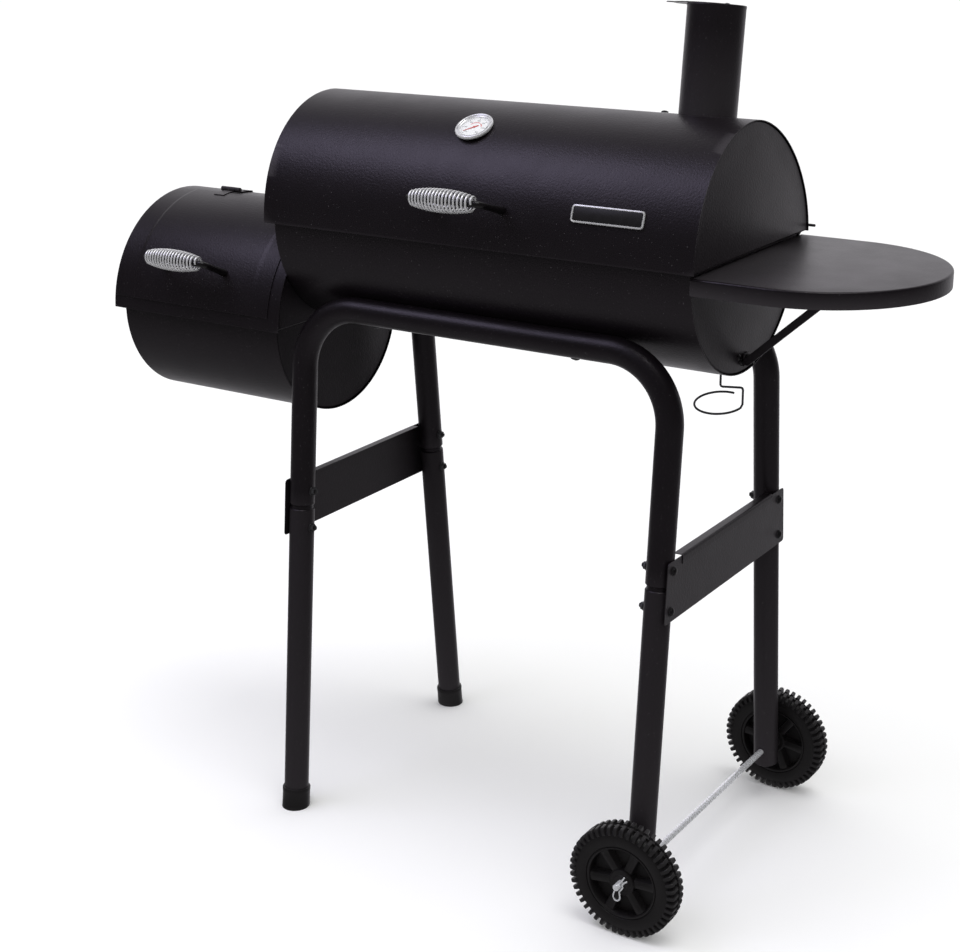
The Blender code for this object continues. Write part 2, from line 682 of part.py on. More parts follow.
# ---- firebox ---------------------------------------------------------------------------------
def build_firebox():
    lower = arc((0, FIRE_Z), FIRE_LOW_R, math.pi, 2 * math.pi, 28)
    flange_y = FIRE_UP_R - SHEET - GAP
    flange_z = FIRE_SEAM_Z + 0.0004
    profile = [(-flange_y, flange_z), (-FIRE_LOW_R, flange_z)] + lower
    profile += [(FIRE_LOW_R, flange_z), (flange_y, flange_z)]
    low_shell = ribbon("firebox_lower_shell", profile, SHEET, *FIRE_LOW_X, BLACK_PAINT)
    radius = FIRE_LOW_R - SHEET - GAP
    bowl = arc((0, FIRE_Z), radius, math.pi, 2 * math.pi, 24)
    outline = [(-radius, FIRE_SEAM_Z)] + bowl + [(radius, FIRE_SEAM_Z)]
    low_ends = []
    for name, x, side in (("firebox_lower_end_left", FIRE_LOW_X[0], -1),
                          ("firebox_lower_end_right", FIRE_LOW_X[1], 1)):
        floor = x - side * PAN_INSET
        low_ends.append(pan(name, outline, floor - side * PAN_DEPTH, floor, BLACK_PAINT))
    start = math.asin((FIRE_SEAM_Z + 2 * GAP - FIRE_Z) / FIRE_UP_R)
    upper = arc((0, FIRE_Z), FIRE_UP_R, start, math.pi - start, 32)
    up_shell = ribbon("firebox_upper_shell", upper, SHEET, *FIRE_UP_X, BLACK_PAINT)
    hole = [fire_point(FIRE_UP_R + 0.02, DOOR_HOLE[0] + (DOOR_HOLE[1] - DOOR_HOLE[0]) * i / 10)
            for i in range(11)]
    cutter = ribbon("door_cutter", hole, -0.04, *DOOR_HOLE_X)
    cut(up_shell, cutter)
    floor_z = FIRE_SEAM_Z + SHEET + 0.0012
    radius = FIRE_UP_R - SHEET / 2
    start = math.asin((floor_z - FIRE_Z) / radius)
    dome = arc((0, FIRE_Z), radius, start, math.pi - start, 28)
    left = FIRE_UP_X[0] + PAN_INSET
    right = FIRE_UP_X[1] - PAN_INSET
    left_pan = pan("welded_end", dome, left + PAN_DEPTH, left, None)
    right_pan = pan("welded_end", dome, right - PAN_DEPTH, right, None)
    flue = rod("flue_cutter", FLUE_R, -0.008, 0.01,
               place_at((right, 0, FLUE_Z), (1, 0, 0), (0, 1, 0)), 24)
    cut(right_pan, flue)
    join(up_shell, left_pan, right_pan)
    return [low_shell] + low_ends + [up_shell]


def shutter_holes(placement, turn, depth):
    tools = []
    for k in range(SHUTTER_HOLES):
        angle = 2 * math.pi * k / SHUTTER_HOLES + turn
        spot = Matrix.Translation((SHUTTER_RING * math.cos(angle), SHUTTER_RING * math.sin(angle), 0))
        tools.append(rod("air_cutter", SHUTTER_HOLE_R, -depth, depth, placement @ spot, 12))
    return tools


def build_shutter(left_end):
    outside = FIRE_LOW_X[0] + PAN_INSET
    placement = place_at((outside, 0, SHUTTER_Z), (-1, 0, 0), (0, 1, 0))
    cut(left_end, *shutter_holes(placement, 0.0, 0.004))
    rivet = lathe("rivet", [(0, -0.0008), (RIVET_R, -0.0008), (RIVET_R, 0.0022), (0.0045, 0.0022),
                            (0.0038, 0.0036), (0, 0.0040)], 12, placement)
    join(left_end, rivet)
    bore = RIVET_R + GAP
    profile = [(bore, GAP), (SHUTTER_R, GAP), (SHUTTER_R, GAP + SHEET), (bore, GAP + SHEET)]
    shutter = lathe("air_shutter", profile, 24, placement, BLACK_PAINT)
    cut(shutter, *shutter_holes(placement, math.radians(22.0), 0.004))
    knob = rod("shutter_knob", 0.0042, GAP + 0.0006, SHUTTER_KNOB + PAN_INSET,
               placement @ Matrix.Translation((0, -SHUTTER_R + 0.007, 0)), 10)
    join(shutter, knob)
    return shutter, placement


def build_door():
    radius = FIRE_UP_R + GAP + SHEET
    points = [fire_point(radius, DOOR_LOW + (DOOR_HIGH - DOOR_LOW) * i / 18) for i in range(19)]
    door = ribbon("firebox_door", list(points), -SHEET, *DOOR_X, BLACK_PAINT)
    foot = fire_point(radius, DOOR_GRIP_FOOT)
    direction = Vector((foot[0], foot[1] - FIRE_Z)).normalized()
    pieces = [door] + build_grip("door_grip", DOOR_MID_X, DOOR_GRIP, foot, direction)
    axis = (0.0, FIRE_Z + FIRE_UP_R + KNUCKLE_R + 0.0012)
    fixed = []
    for name, x in (("door_hinge_left", DOOR_HINGE_X[0]), ("door_hinge_right", DOOR_HINGE_X[1])):
        back = [fire_point(FIRE_UP_R + GAP + PLATE, math.radians(a)) for a in (90.8, 94, 97, 100)]
        front = [fire_point(radius + GAP + PLATE, math.radians(a)) for a in (75, 78, 81, 84.5)]
        leaf, flap = build_hinge(name, x, axis, back, front + [(axis[0], axis[1])])
        fixed.append(leaf)
        pieces.append(flap)
    return pieces, fixed, axis


# ---- grates, hook, shelf -----------------------------------------------------------------------
def wall_half_width(radius, centre_z, height):
    return math.sqrt((radius - SHEET) ** 2 - (centre_z - height) ** 2) - 0.0006


def build_grates():
    pieces = []
    half = wall_half_width(BARREL_R, SEAM_Z, COOK_Z)
    rows = slats(-half, half, 2, 0.006)
    end = BARREL_HALF - PAN_INSET - PAN_DEPTH - 0.002
    for name, low, high in (("cooking_grate_left", -end, -0.001), ("cooking_grate_right", 0.001, end)):
        pieces.append(grid(name, slats(low, high, 9, 0.005), rows, COOK_Z, ENAMEL))
    half = wall_half_width(BARREL_R, SEAM_Z, COAL_Z)
    pieces.append(grid("charcoal_grate", slats(-end, end, 12, 0.006), slats(-half, half, 2, 0.006),
                       COAL_Z, ENAMEL))
    half = wall_half_width(FIRE_LOW_R, FIRE_Z, FIRE_GRATE_Z)
    low = FIRE_LOW_X[0] + PAN_INSET + PAN_DEPTH + 0.002
    high = FIRE_LOW_X[1] - PAN_INSET - PAN_DEPTH - 0.002
    pieces.append(grid("firebox_grate", slats(low, high, 7, 0.006), slats(-half, half, 2, 0.006),
                       FIRE_GRATE_Z, ENAMEL))
    return pieces


def build_hook():
    """A wire that hooks through the drain hole and bends into an open ring for a cup."""
    bottom = SEAM_Z - BARREL_R
    ring_r = 0.0350
    ring_z = bottom - 0.0480
    tilt = math.radians(11.0)
    centre = Vector((HOOK_X - 0.0005, 0.0, ring_z))
    path = [Vector((HOOK_X, 0.0, bottom + 0.004)), Vector((HOOK_X, 0.0, bottom - 0.0205))]
    path += [Vector((HOOK_X + 0.0015, 0.0, bottom - 0.0235)), Vector((HOOK_X + 0.004, 0.0, bottom - 0.0243))]
    path += [Vector((HOOK_X + 0.0300, 0.0, bottom - 0.0215)), Vector((HOOK_X + 0.0333, 0.0, bottom - 0.0228))]
    path += [Vector((HOOK_X + 0.0345, 0.0, bottom - 0.0255)), Vector((HOOK_X + 0.0345, 0.0, ring_z + 0.004))]
    for i in range(16):
        angle = -math.radians(8.0) - math.radians(272.0) * i / 15
        y = ring_r * math.sin(angle)
        path.append(centre + Vector((ring_r * math.cos(angle), y * math.cos(tilt), y * math.sin(tilt))))
    return sweep("grease_cup_hook", path, HOOK_WIRE_R, 6, ZINC)


def build_shelf():
    left = BARREL_HALF + GAP
    centre = SHELF_RIGHT - SHELF_HALF
    round_end = arc((centre, 0), SHELF_HALF, -math.pi / 2, math.pi / 2, 28)
    outline = [(left, -SHELF_HALF)] + round_end + [(left, SHELF_HALF)]
    return pan("side_shelf", outline, SHELF_Z - SHELF_APRON, SHELF_Z, BLACK_PAINT, IDENTITY)


def build_strut():
    """A flat bar standing on edge, with a tab bent over at each end."""
    face = BARREL_HALF - PAN_INSET + GAP
    under = SHELF_Z - SHEET - GAP
    lap = 0.0008
    heel = face + 0.0082
    toe = under - 0.0050
    low_x = heel + (toe - STRUT_FOOT_Z) * STRUT_RUN / STRUT_RISE
    top_x = heel - STRUT_WIDTH * STRUT_RISE
    top_z = STRUT_FOOT_Z + STRUT_WIDTH * STRUT_RUN
    high_x = top_x + (under - lap - top_z) * STRUT_RUN / STRUT_RISE
    outline = [(face + lap, STRUT_FOOT_Z), (heel, STRUT_FOOT_Z), (low_x, toe), (low_x, under - lap),
               (high_x, under - lap), (face + lap, top_z - (top_x - face - lap) * STRUT_RISE / STRUT_RUN)]
    half = STRUT_THICK / 2
    bar = prism("shelf_strut", outline, -half, half, BLACK_PAINT, SIDEWAYS)
    foot = [(face, STRUT_FOOT_Z - 0.002), (face + 0.0025, STRUT_FOOT_Z - 0.002),
            (face + 0.0025, STRUT_FOOT_Z + 0.016), (face, STRUT_FOOT_Z + 0.016)]
    head = [(high_x, under - 0.0025), (low_x + 0.004, under - 0.0025), (low_x + 0.004, under), (high_x, under)]
    return join(bar, prism("strut_foot", foot, -0.0010, STRUT_TAB, None, SIDEWAYS),
                prism("strut_head", head, -0.0010, STRUT_TAB, None, SIDEWAYS))


# ---- stand -------------------------------------------------------------------------------------
def bolt_frame(side_x, side_y, height):
    y = side_y * leg_y(height)
    outside = side_x * (LEG_X + TUBE_R + GAP + SHEET + GAP)
    return place_at((outside, y, height), (side_x, 0, 0), (0, 1, 0))


def bolt_cutter(side_x, side_y, height):
    return rod("bolt_cutter", BOLT_R + GAP, -0.055, 0.01, bolt_frame(side_x, side_y, height), 8)


def build_bolt(name, side_x, side_y, height):
    """A dome-head bolt through brace and leg, with its nut on the far side of the leg."""
    grip = 2 * TUBE_R + SHEET + 2 * GAP + GAP
    profile = [(0, 0.0042), (0.0040, 0.0034), (0.0062, 0), (BOLT_R, 0), (BOLT_R, -grip),
               (0.0058, -grip), (0.0058, -grip - 0.0050), (0, -grip - 0.0085)]
    return lathe(name, profile, 8, bolt_frame(side_x, side_y, height), BLACK_BOLT)


def build_bent_tube(name, side_y):
    """The inverted U that carries one side of the barrel, as far down as the leg joints."""
    up = Vector((0, -side_y * LEG_SPLAY, 1)).normalized()
    foot = Vector((0, side_y * LEG_Y_FLOOR, 0))
    top = along_leg(bar_height())
    half = [(LEG_X, along_leg(JOINT_Z)), (LEG_X, along_leg(BOLT_Z[1] + 0.03))]
    steps = 6
    for i in range(steps + 1):
        angle = math.pi / 2 * i / steps
        half.append((LEG_X - BEND_R * (1 - math.cos(angle)), top - BEND_R * (1 - math.sin(angle))))
    line = [(-x, s) for x, s in half] + list(reversed(half))
    path = [foot + Vector((x, 0, 0)) + up * s for x, s in line]
    tube = sweep(name, path, TUBE_R, TUBE_SIDES, BLACK_PAINT, TUBE_R - TUBE_WALL)
    for side_x in (-1, 1):
        cut(tube, bolt_cutter(side_x, side_y, BOLT_Z[1]))
    return tube


def build_lower_leg(name, side_x, side_y):
    """A straight tube whose reduced upper end plugs into the bent tube."""
    start = along_leg(WHEEL_LEG_END) if side_x > 0 else 0.0080
    shoulder = along_leg(JOINT_Z) - GAP
    inner = TUBE_R - TUBE_WALL
    plug = inner * math.cos(math.pi / TUBE_SIDES) - GAP
    bore = plug - TUBE_WALL
    profile = [(TUBE_R, start), (TUBE_R, shoulder), (plug, shoulder), (plug, shoulder + PLUG),
               (bore, shoulder + PLUG), (bore, shoulder - 0.0060), (inner, shoulder - 0.0120), (inner, start)]
    leg = lathe(name, profile, TUBE_SIDES, leg_frame(side_x, side_y), BLACK_PAINT)
    for height in BOLT_Z:
        cut(leg, bolt_cutter(side_x, side_y, height))
    if side_x > 0:
        axle = rod("axle_cutter", AXLE_R + GAP, -AXLE_HALF, AXLE_HALF,
                   place_at((LEG_X, 0, WHEEL_R), (0, 1, 0)), 16)
        cut(leg, axle)
    return leg


def build_foot(name, side_y):
    """A moulded cap on the leg's end, its sole cut level with the floor."""
    sole = 0.0050
    profile = [(0, -0.01), (FOOT_R, -0.01), (FOOT_R - 0.0006, FOOT_H), (TUBE_R + GAP, FOOT_H),
               (TUBE_R + GAP, 0.0080 - GAP), (0, 0.0080 - GAP)]
    foot = lathe(name, profile, 20, leg_frame(-1, side_y), BLACK_PLASTIC)
    floor = prism("floor_cutter", [(-0.5, -sole * 4), (0.5, -sole * 4), (0.5, 0), (-0.5, 0)], -1.0, 1.0)
    return cut(foot, floor)


def build_brace(name, side_x):
    """A pressed cross brace on the outer side of two legs, with a bent top flange."""
    low, high = BRACE_Z
    inside = side_x * (LEG_X + TUBE_R + GAP)
    ends = [leg_y(z) + TUBE_R * 0.9 for z in (low, high)]
    outline = [(-ends[0], low), (ends[0], low), (ends[1], high), (-ends[1], high)]
    brace = prism(name, outline, inside, inside + side_x * SHEET, BLACK_PAINT)
    short = leg_y(high) - TUBE_R - 0.004
    flange = prism("flange", [(-short, high - SHEET), (short, high - SHEET), (short, high), (-short, high)],
                   inside + side_x * SHEET / 2, inside - side_x * BRACE_FLANGE)
    join(brace, flange)
    for side_y in (-1, 1):
        for height in BOLT_Z:
            cut(brace, bolt_cutter(side_x, side_y, height))
    return brace


def build_axle():
    axis = place_at((LEG_X, 0, WHEEL_R), (0, 1, 0))
    tip = 0.0012
    profile = [(0, -AXLE_HALF), (AXLE_R - tip, -AXLE_HALF), (AXLE_R, -AXLE_HALF + tip),
               (AXLE_R, AXLE_HALF - tip), (AXLE_R - tip, AXLE_HALF), (0, AXLE_HALF)]
    axle = lathe("axle", profile, 16, axis, ZINC)
    for side_y in (-1, 1):
        hole = rod("clip_cutter", CLIP_WIRE_R + GAP, -0.01, 0.01,
                   place_at((LEG_X, side_y * AXLE_PIN_Y, WHEEL_R), (0.0102, 0, 0.0162), (0, 1, 0)), 8)
        cut(axle, hole)
    return axle


def build_wheel(name, side_y):
    inner = WHEEL_OUTER_Y - WHEEL_WIDTH
    profile = [(AXLE_R + GAP, 0.0), (0.0150, 0.0), (0.0165, 0.0130), (0.0490, 0.0130),
               (RIM_R, 0.0020), (0.0780, 0.0), (WHEEL_R, 0.0050), (WHEEL_R, WHEEL_WIDTH - 0.0050),
               (0.0780, WHEEL_WIDTH), (RIM_R, WHEEL_WIDTH - 0.0020), (0.0490, 0.0220),
               (0.0165, 0.0220), (0.0150, WHEEL_WIDTH), (AXLE_R + GAP, WHEEL_WIDTH)]
    place = place_at((LEG_X, side_y * inner, WHEEL_R), (0, side_y, 0))
    return lathe(name, profile, 28, place, BLACK_PLASTIC)


def build_clip(name, side_y):
    """A spring clip: a straight leg through the axle, a loop below it and a wavy leg that hugs it."""
    points = [(0.0102, 0.0162), (0.0, 0.0), (-0.0032, -0.0051), (-0.0064, -0.0135), (-0.0066, -0.0193),
              (-0.0034, -0.0228), (0.0010, -0.0226), (0.0040, -0.0184), (0.0036, -0.0124), (0.0022, -0.0080),
              (0.0056, -0.0040), (0.0082, 0.0), (0.0070, 0.0040), (0.0100, 0.0080), (0.0145, 0.0115)]
    y = side_y * AXLE_PIN_Y
    path = [Vector((LEG_X + x, y, WHEEL_R + z)) for x, z in points]
    return sweep(name, path, CLIP_WIRE_R, 6, ZINC)


def build_stand():
    pieces = []
    for name, side_y in (("stand_front_tube", -1), ("stand_back_tube", 1)):
        pieces.append(build_bent_tube(name, side_y))
    for end, side_x in (("left", -1), ("right", 1)):
        pieces.append(build_brace("brace_" + end, side_x))
        for depth, side_y in (("front", -1), ("back", 1)):
            pieces.append(build_lower_leg("leg_" + depth + "_" + end, side_x, side_y))
            for level, height in zip(("low", "high"), BOLT_Z):
                pieces.append(build_bolt("bolt_" + depth + "_" + end + "_" + level, side_x, side_y, height))
    for depth, side_y in (("front", -1), ("back", 1)):
        pieces.append(build_foot("foot_cap_" + depth, side_y))
        pieces.append(build_clip("wheel_clip_" + depth, side_y))
    pieces.append(build_axle())
    wheels = [build_wheel("wheel_front", -1), build_wheel("wheel_back", 1)]
    return pieces, wheels


# ---- assembly ----------------------------------------------------------------------------------
def pivot_empty(name, point, parent):
    empty = bpy.data.objects.new(name, None)
    bpy.context.scene.collection.objects.link(empty)
    empty.parent = parent
    empty.location = Vector(point) - (parent.location if parent.parent else Vector())
    return empty


def hang(pieces, empty, point):
    """Parents pieces to an empty at a point, leaving them where they are."""
    for piece in pieces:
        piece.parent = empty
        piece.location = -Vector(point)


def main():
    clear_scene()
    origin = bpy.data.objects.new("grill_origin", None)
    bpy.context.scene.collection.objects.link(origin)
    origin.location = (GRILL_X, 0, 0)

    fixed = build_trough() + build_firebox() + build_grates()
    fixed += [build_hook(), build_shelf(), build_strut()]
    left_end = next(piece for piece in fixed if piece.name == "firebox_lower_end_left")
    shutter, shutter_frame = build_shutter(left_end)
    hinge_fixed, hinge_moving = build_lid_hinges()
    door_pieces, door_fixed, door_axis = build_door()
    stand, wheels = build_stand()
    hang(fixed + hinge_fixed + door_fixed + stand, origin, (0, 0, 0))

    lid_axis = (0, LID_HINGE_Y, LID_HINGE_Z)
    lid_pivot = pivot_empty("lid_axis", lid_axis, origin)
    fittings, dial_place = build_lid_fittings()
    needle = next(piece for piece in fittings if piece.name == "thermometer_needle")
    fittings.remove(needle)
    pipe, damper, damper_place = build_chimney()
    hang(build_lid() + fittings + hinge_moving + [pipe], lid_pivot, lid_axis)
    for piece, place in ((damper, damper_place), (needle, dial_place)):
        spot = place.translation
        hang([piece], pivot_empty(piece.name + "_axis", spot, lid_pivot), spot)

    door_point = (DOOR_MID_X, *door_axis)
    hang(door_pieces, pivot_empty("door_axis", door_point, origin), door_point)
    shutter_point = shutter_frame.translation
    hang([shutter], pivot_empty("shutter_axis", shutter_point, origin), shutter_point)
    for wheel, side_y in zip(wheels, (-1, 1)):
        hub = (LEG_X, side_y * (WHEEL_OUTER_Y - WHEEL_WIDTH / 2), WHEEL_R)
        hang([wheel], pivot_empty(wheel.name + "_axis", hub, origin), hub)
    bpy.context.view_layer.update()


main()
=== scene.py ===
import json
from math import asin, copysign, cos, degrees, pi, radians, sin, sqrt

import bmesh
import bpy
from mathutils import Matrix, Vector


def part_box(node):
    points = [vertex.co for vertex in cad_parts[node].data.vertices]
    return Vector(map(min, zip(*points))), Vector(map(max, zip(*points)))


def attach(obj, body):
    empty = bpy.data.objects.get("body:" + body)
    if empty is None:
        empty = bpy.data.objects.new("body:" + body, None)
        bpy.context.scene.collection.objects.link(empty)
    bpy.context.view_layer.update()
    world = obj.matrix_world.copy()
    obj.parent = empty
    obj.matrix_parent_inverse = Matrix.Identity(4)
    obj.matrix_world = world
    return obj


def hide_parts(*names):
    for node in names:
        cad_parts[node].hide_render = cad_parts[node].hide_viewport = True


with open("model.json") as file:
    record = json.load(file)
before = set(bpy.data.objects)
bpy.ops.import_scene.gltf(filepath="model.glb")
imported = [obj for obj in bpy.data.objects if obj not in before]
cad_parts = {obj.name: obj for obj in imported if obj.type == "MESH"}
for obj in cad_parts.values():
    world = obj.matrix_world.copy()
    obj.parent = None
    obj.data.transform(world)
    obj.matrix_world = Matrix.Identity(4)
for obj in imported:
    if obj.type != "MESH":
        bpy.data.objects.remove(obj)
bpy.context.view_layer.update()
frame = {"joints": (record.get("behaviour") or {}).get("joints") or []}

# ---- places and sizes in metres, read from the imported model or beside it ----
SHEET = 0.0012
GAP = 0.0003
PLATE = 0.0020
EDGE = 0.0004
LID_LOW, LID_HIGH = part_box("lid_shell")
MID_X = (LID_LOW.x + LID_HIGH.x) / 2
SEAM_Z = LID_LOW.z
LID_H = LID_HIGH.z - LID_LOW.z
LID_PEAK_Y = -0.0120
TROUGH_LOW, TROUGH_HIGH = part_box("barrel_trough")
BARREL_R = TROUGH_HIGH.y
FIRE_LOW, FIRE_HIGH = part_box("firebox_lower_shell")
TOP_LOW, TOP_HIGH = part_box("firebox_upper_shell")
DOOR_LOW, DOOR_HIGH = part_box("firebox_door")
FIRE_Z = 0.7490
FIRE_LOW_R = FIRE_Z - FIRE_LOW.z
FIRE_UP_R = TOP_HIGH.z - FIRE_Z
DOOR_ARC = (radians(8.8), radians(85.5))
DOOR_HOLE = (radians(16.0), radians(78.0))
AXLE_LOW, AXLE_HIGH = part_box("axle")
AXLE_X = (AXLE_LOW.x + AXLE_HIGH.x) / 2
AXLE_Z = (AXLE_LOW.z + AXLE_HIGH.z) / 2
ROD_R = 0.0050
TUBE_R = 0.01905
LEG_Y_FLOOR = 0.2170
LEG_SPLAY = 0.0916  # how far a leg leans in per unit of height
LEG_X = AXLE_X - MID_X
SLIP_Z = 0.4880  # where the bows slip into the legs
CHIMNEY_Y = 0.0220
CHIMNEY_HOLE_R = 0.0402
FLUE_R = 0.0550
FLUE_Z = 0.8350
HOOK_X = MID_X + 0.3060
END_DEPTH = 0.0120
BOLT_LEVELS = (("low", 0.4590), ("high", 0.5160))
ENDS = (("left", -1), ("right", 1))
DEPTHS = (("front", -1), ("back", 1))
DIAL_R = 0.0276
JOINTS = {joint["name"]: joint for joint in frame["joints"]}


# ---- materials ----
def add_node(tree, kind, values=None, links=None, **settings):
    """A node with its settings, its sockets' values, and what is linked to its sockets."""
    node = tree.nodes.new(kind)
    for key, value in settings.items():
        setattr(node, key, value)
    for key, value in (values or {}).items():
        node.inputs[key].default_value = value
    for key, source in (links or {}).items():
        tree.links.new(source, node.inputs[key])
    return node


def span(tree, source, low, high, to_low, to_high):
    values = {1: low, 2: high, 3: to_low, 4: to_high}
    return add_node(tree, "ShaderNodeMapRange", values, {0: source}).outputs[0]


def blend_colour(tree, amount, first, second):
    node = add_node(tree, "ShaderNodeMix", links={0: amount}, data_type="RGBA")
    for index, colour in ((6, first), (7, second)):
        if isinstance(colour, tuple):
            node.inputs[index].default_value = (*colour, 1)
        else:
            tree.links.new(colour, node.inputs[index])
    return node.outputs[2]


def noise(tree, where, scale, detail=3.0, rough=0.55):
    values = {"Scale": scale, "Detail": detail, "Roughness": rough}
    return add_node(tree, "ShaderNodeTexNoise", values, {"Vector": where}).outputs["Fac"]


def new_material(name):
    material = bpy.data.materials.new(name)
    material.use_nodes = True
    return material, next(n for n in material.node_tree.nodes if n.type == "BSDF_PRINCIPLED")


def surface(name, colour, rough, metallic=0.0, grain=(1400.0, 0.00006, 0.25), mottle=(11.0, 0.12, 0.05),
            specks=None, wear=None, **sockets):
    """A finish with fine grain, cloudy colour and gloss, and where asked, specks and worn edges.

    grain is its scale, depth and strength; mottle is its scale, colour change and gloss change;
    specks is scale, threshold and colour; wear is amount and colour.
    """
    material, shader = new_material(name)
    tree = material.node_tree
    where = add_node(tree, "ShaderNodeTexCoord").outputs["Object"]
    cloud = noise(tree, where, mottle[0], 5.0)
    darker = tuple(c * (1 - mottle[1]) for c in colour)
    lighter = tuple(min(1.0, c * (1 + mottle[1])) for c in colour)
    tint = blend_colour(tree, span(tree, cloud, 0.3, 0.7, 0.0, 1.0), darker, lighter)
    if specks:
        fleck = noise(tree, where, specks[0], 2.0, 0.5)
        tint = blend_colour(tree, span(tree, fleck, specks[1], specks[1] + 0.05, 0.0, 1.0), tint, specks[2])
    if wear:
        edge = add_node(tree, "ShaderNodeNewGeometry").outputs["Pointiness"]
        tint = blend_colour(tree, span(tree, edge, 0.53, 0.60, 0.0, wear[0]), tint, wear[1])
    patch = noise(tree, where, mottle[0] * 3.1, 4.0)
    gloss = span(tree, patch, 0.3, 0.7, rough - mottle[2], rough + mottle[2])
    bump = add_node(tree, "ShaderNodeBump", {"Strength": grain[2], "Distance": grain[1]},
                    {"Height": noise(tree, where, grain[0], 2.0)})
    for socket, source in (("Base Color", tint), ("Roughness", gloss), ("Normal", bump.outputs["Normal"])):
        tree.links.new(source, shader.inputs[socket])
    shader.inputs["Metallic"].default_value = metallic
    for key, value in sockets.items():
        shader.inputs[key.replace("_", " ")].default_value = value
    return material


PAINT = surface("black_paint", (0.0050, 0.0032, 0.0046), 0.385, specks=(430.0, 0.705, (0.060, 0.056, 0.060)),
                grain=(330.0, 0.00055, 0.55), mottle=(9.0, 0.12, 0.02), wear=(0.5, (0.05, 0.046, 0.05)),
                Specular_Tint=(1.0, 0.93, 1.0, 1))
SPRING = surface("spring_wire", (0.90, 0.90, 0.91), 0.26, 0.66, grain=(900.0, 0.00003, 0.2),
                 mottle=(150.0, 0.05, 0.08))
WIRE = surface("hook_wire", (0.10, 0.10, 0.105), 0.34, 0.8, mottle=(60.0, 0.2, 0.08))
GLOSS = surface("black_gloss", (0.0050, 0.0040, 0.0048), 0.30, mottle=(40.0, 0.1, 0.05))
BRIGHT = surface("bright_zinc", (0.84, 0.85, 0.88), 0.28, 0.55, grain=(900.0, 0.00004, 0.3),
                 mottle=(120.0, 0.10, 0.08))
BOLT = surface("black_bolt", (0.007, 0.006, 0.007), 0.34, 0.35, mottle=(60.0, 0.2, 0.08),
               wear=(0.5, (0.08, 0.08, 0.085)))
PLASTIC = surface("black_plastic", (0.0058, 0.0045, 0.0050), 0.46, grain=(1500.0, 0.00012, 0.4),
                  mottle=(30.0, 0.15, 0.07), wear=(0.35, (0.03, 0.028, 0.03)))
ENAMEL = surface("grate_enamel", (0.016, 0.016, 0.017), 0.28, 0.0, grain=(260.0, 0.0003, 0.5),
                 mottle=(25.0, 0.3, 0.10))
RED = surface("needle_red", (0.55, 0.030, 0.022), 0.40)
INK = surface("dial_ink", (0.030, 0.030, 0.034), 0.55)
DIAL_WHITE = surface("dial_white", (0.78, 0.78, 0.77), 0.48, grain=(900.0, 0.00003, 0.2),
                     mottle=(90.0, 0.03, 0.05))
GLASS = surface("glass", (0.97, 0.98, 0.985), 0.03, grain=(300.0, 0.00001, 0.05), mottle=(20.0, 0.005, 0.015),
                Transmission_Weight=1.0, IOR=1.25)


# ---- shapes ----
def arc(centre, radius, start, end, steps):
    points = []
    for i in range(steps + 1):
        angle = start + (end - start) * i / steps
        points.append(Vector((centre[0] + radius * cos(angle), centre[1] + radius * sin(angle))))
    return points


def rounded(points, radius, steps=5, closed=False, sharp=12.0):
    """The same line with its corners rounded, in two or three dimensions."""
    points = [Vector(p) for p in points]
    count = len(points)
    result = []
    for i, here in enumerate(points):
        if not closed and i in (0, count - 1):
            result.append(here)
            continue
        before, after = points[i - 1], points[(i + 1) % count]
        a, b = before - here, after - here
        if degrees(a.angle(-b)) < sharp:
            result.append(here)
            continue
        start = here + a.normalized() * min(radius, a.length * 0.48)
        end = here + b.normalized() * min(radius, b.length * 0.48)
        for k in range(steps + 1):
            t = k / steps
            result.append(start * (1 - t) ** 2 + here * 2 * t * (1 - t) + end * t * t)
    return result


def sides(points):
    """Direction to the right of travel at each point of an open line in a plane."""
    result = []
    for i in range(len(points)):
        before = Vector(points[max(i - 1, 0)])
        after = Vector(points[min(i + 1, len(points) - 1)])
        along = (after - before).normalized()
        result.append(Vector((along.y, -along.x)))
    return result


def inset(outline, distance):
    """A closed counter-clockwise outline moved inwards, with mitred corners."""
    result = []
    for i, here in enumerate(outline):
        a = (here - outline[i - 1]).normalized()
        b = (outline[(i + 1) % len(outline)] - here).normalized()
        inward = Vector((-a.y - b.y, a.x + b.x)).normalized()
        result.append(here + inward * (distance / max(inward.dot(Vector((-a.y, a.x))), 0.35)))
    return result


def span_of(node):
    """The middle of a node's box and half its size."""
    low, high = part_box(node)
    return (low + high) / 2, (high - low) / 2


def rectangle(x0, x1, y0, y1):
    return [(x0, y0), (x1, y0), (x1, y1), (x0, y1)]


def ring_at(outline, distance, level):
    return [Vector((p.x, p.y, level)) for p in inset(outline, distance)]


def turned(angle, axis="Z"):
    return Matrix.Rotation(angle, 4, axis)


def moved(x, y, z):
    return Matrix.Translation((x, y, z))


def add_object(name, data):
    piece = bpy.data.objects.new(name, data)
    bpy.context.scene.collection.objects.link(piece)
    return piece


def shade(mesh, sharp=38.0):
    """Smooth shading, with edges kept sharp past an angle in degrees."""
    mesh.polygons.foreach_set("use_smooth", [True] * len(mesh.polygons))
    mesh.set_sharp_from_angle(angle=radians(sharp))


def place_at(point, normal, across=(1, 0, 0)):
    """A placement whose Z is the normal and whose X is as near across as can be."""
    z = Vector(normal).normalized()
    x = Vector(across)
    x = (x - z * x.dot(z)).normalized()
    matrix = Matrix((x, z.cross(x), z)).transposed().to_4x4()
    matrix.translation = Vector(point)
    return matrix


def section_at(x, side=1):
    """Maps a drawing's (u, v, w) to (x + side * w, u, v)."""
    return Matrix(((0, 0, side, x), (1, 0, 0, 0), (0, 1, 0, 0), (0, 0, 0, 1)))


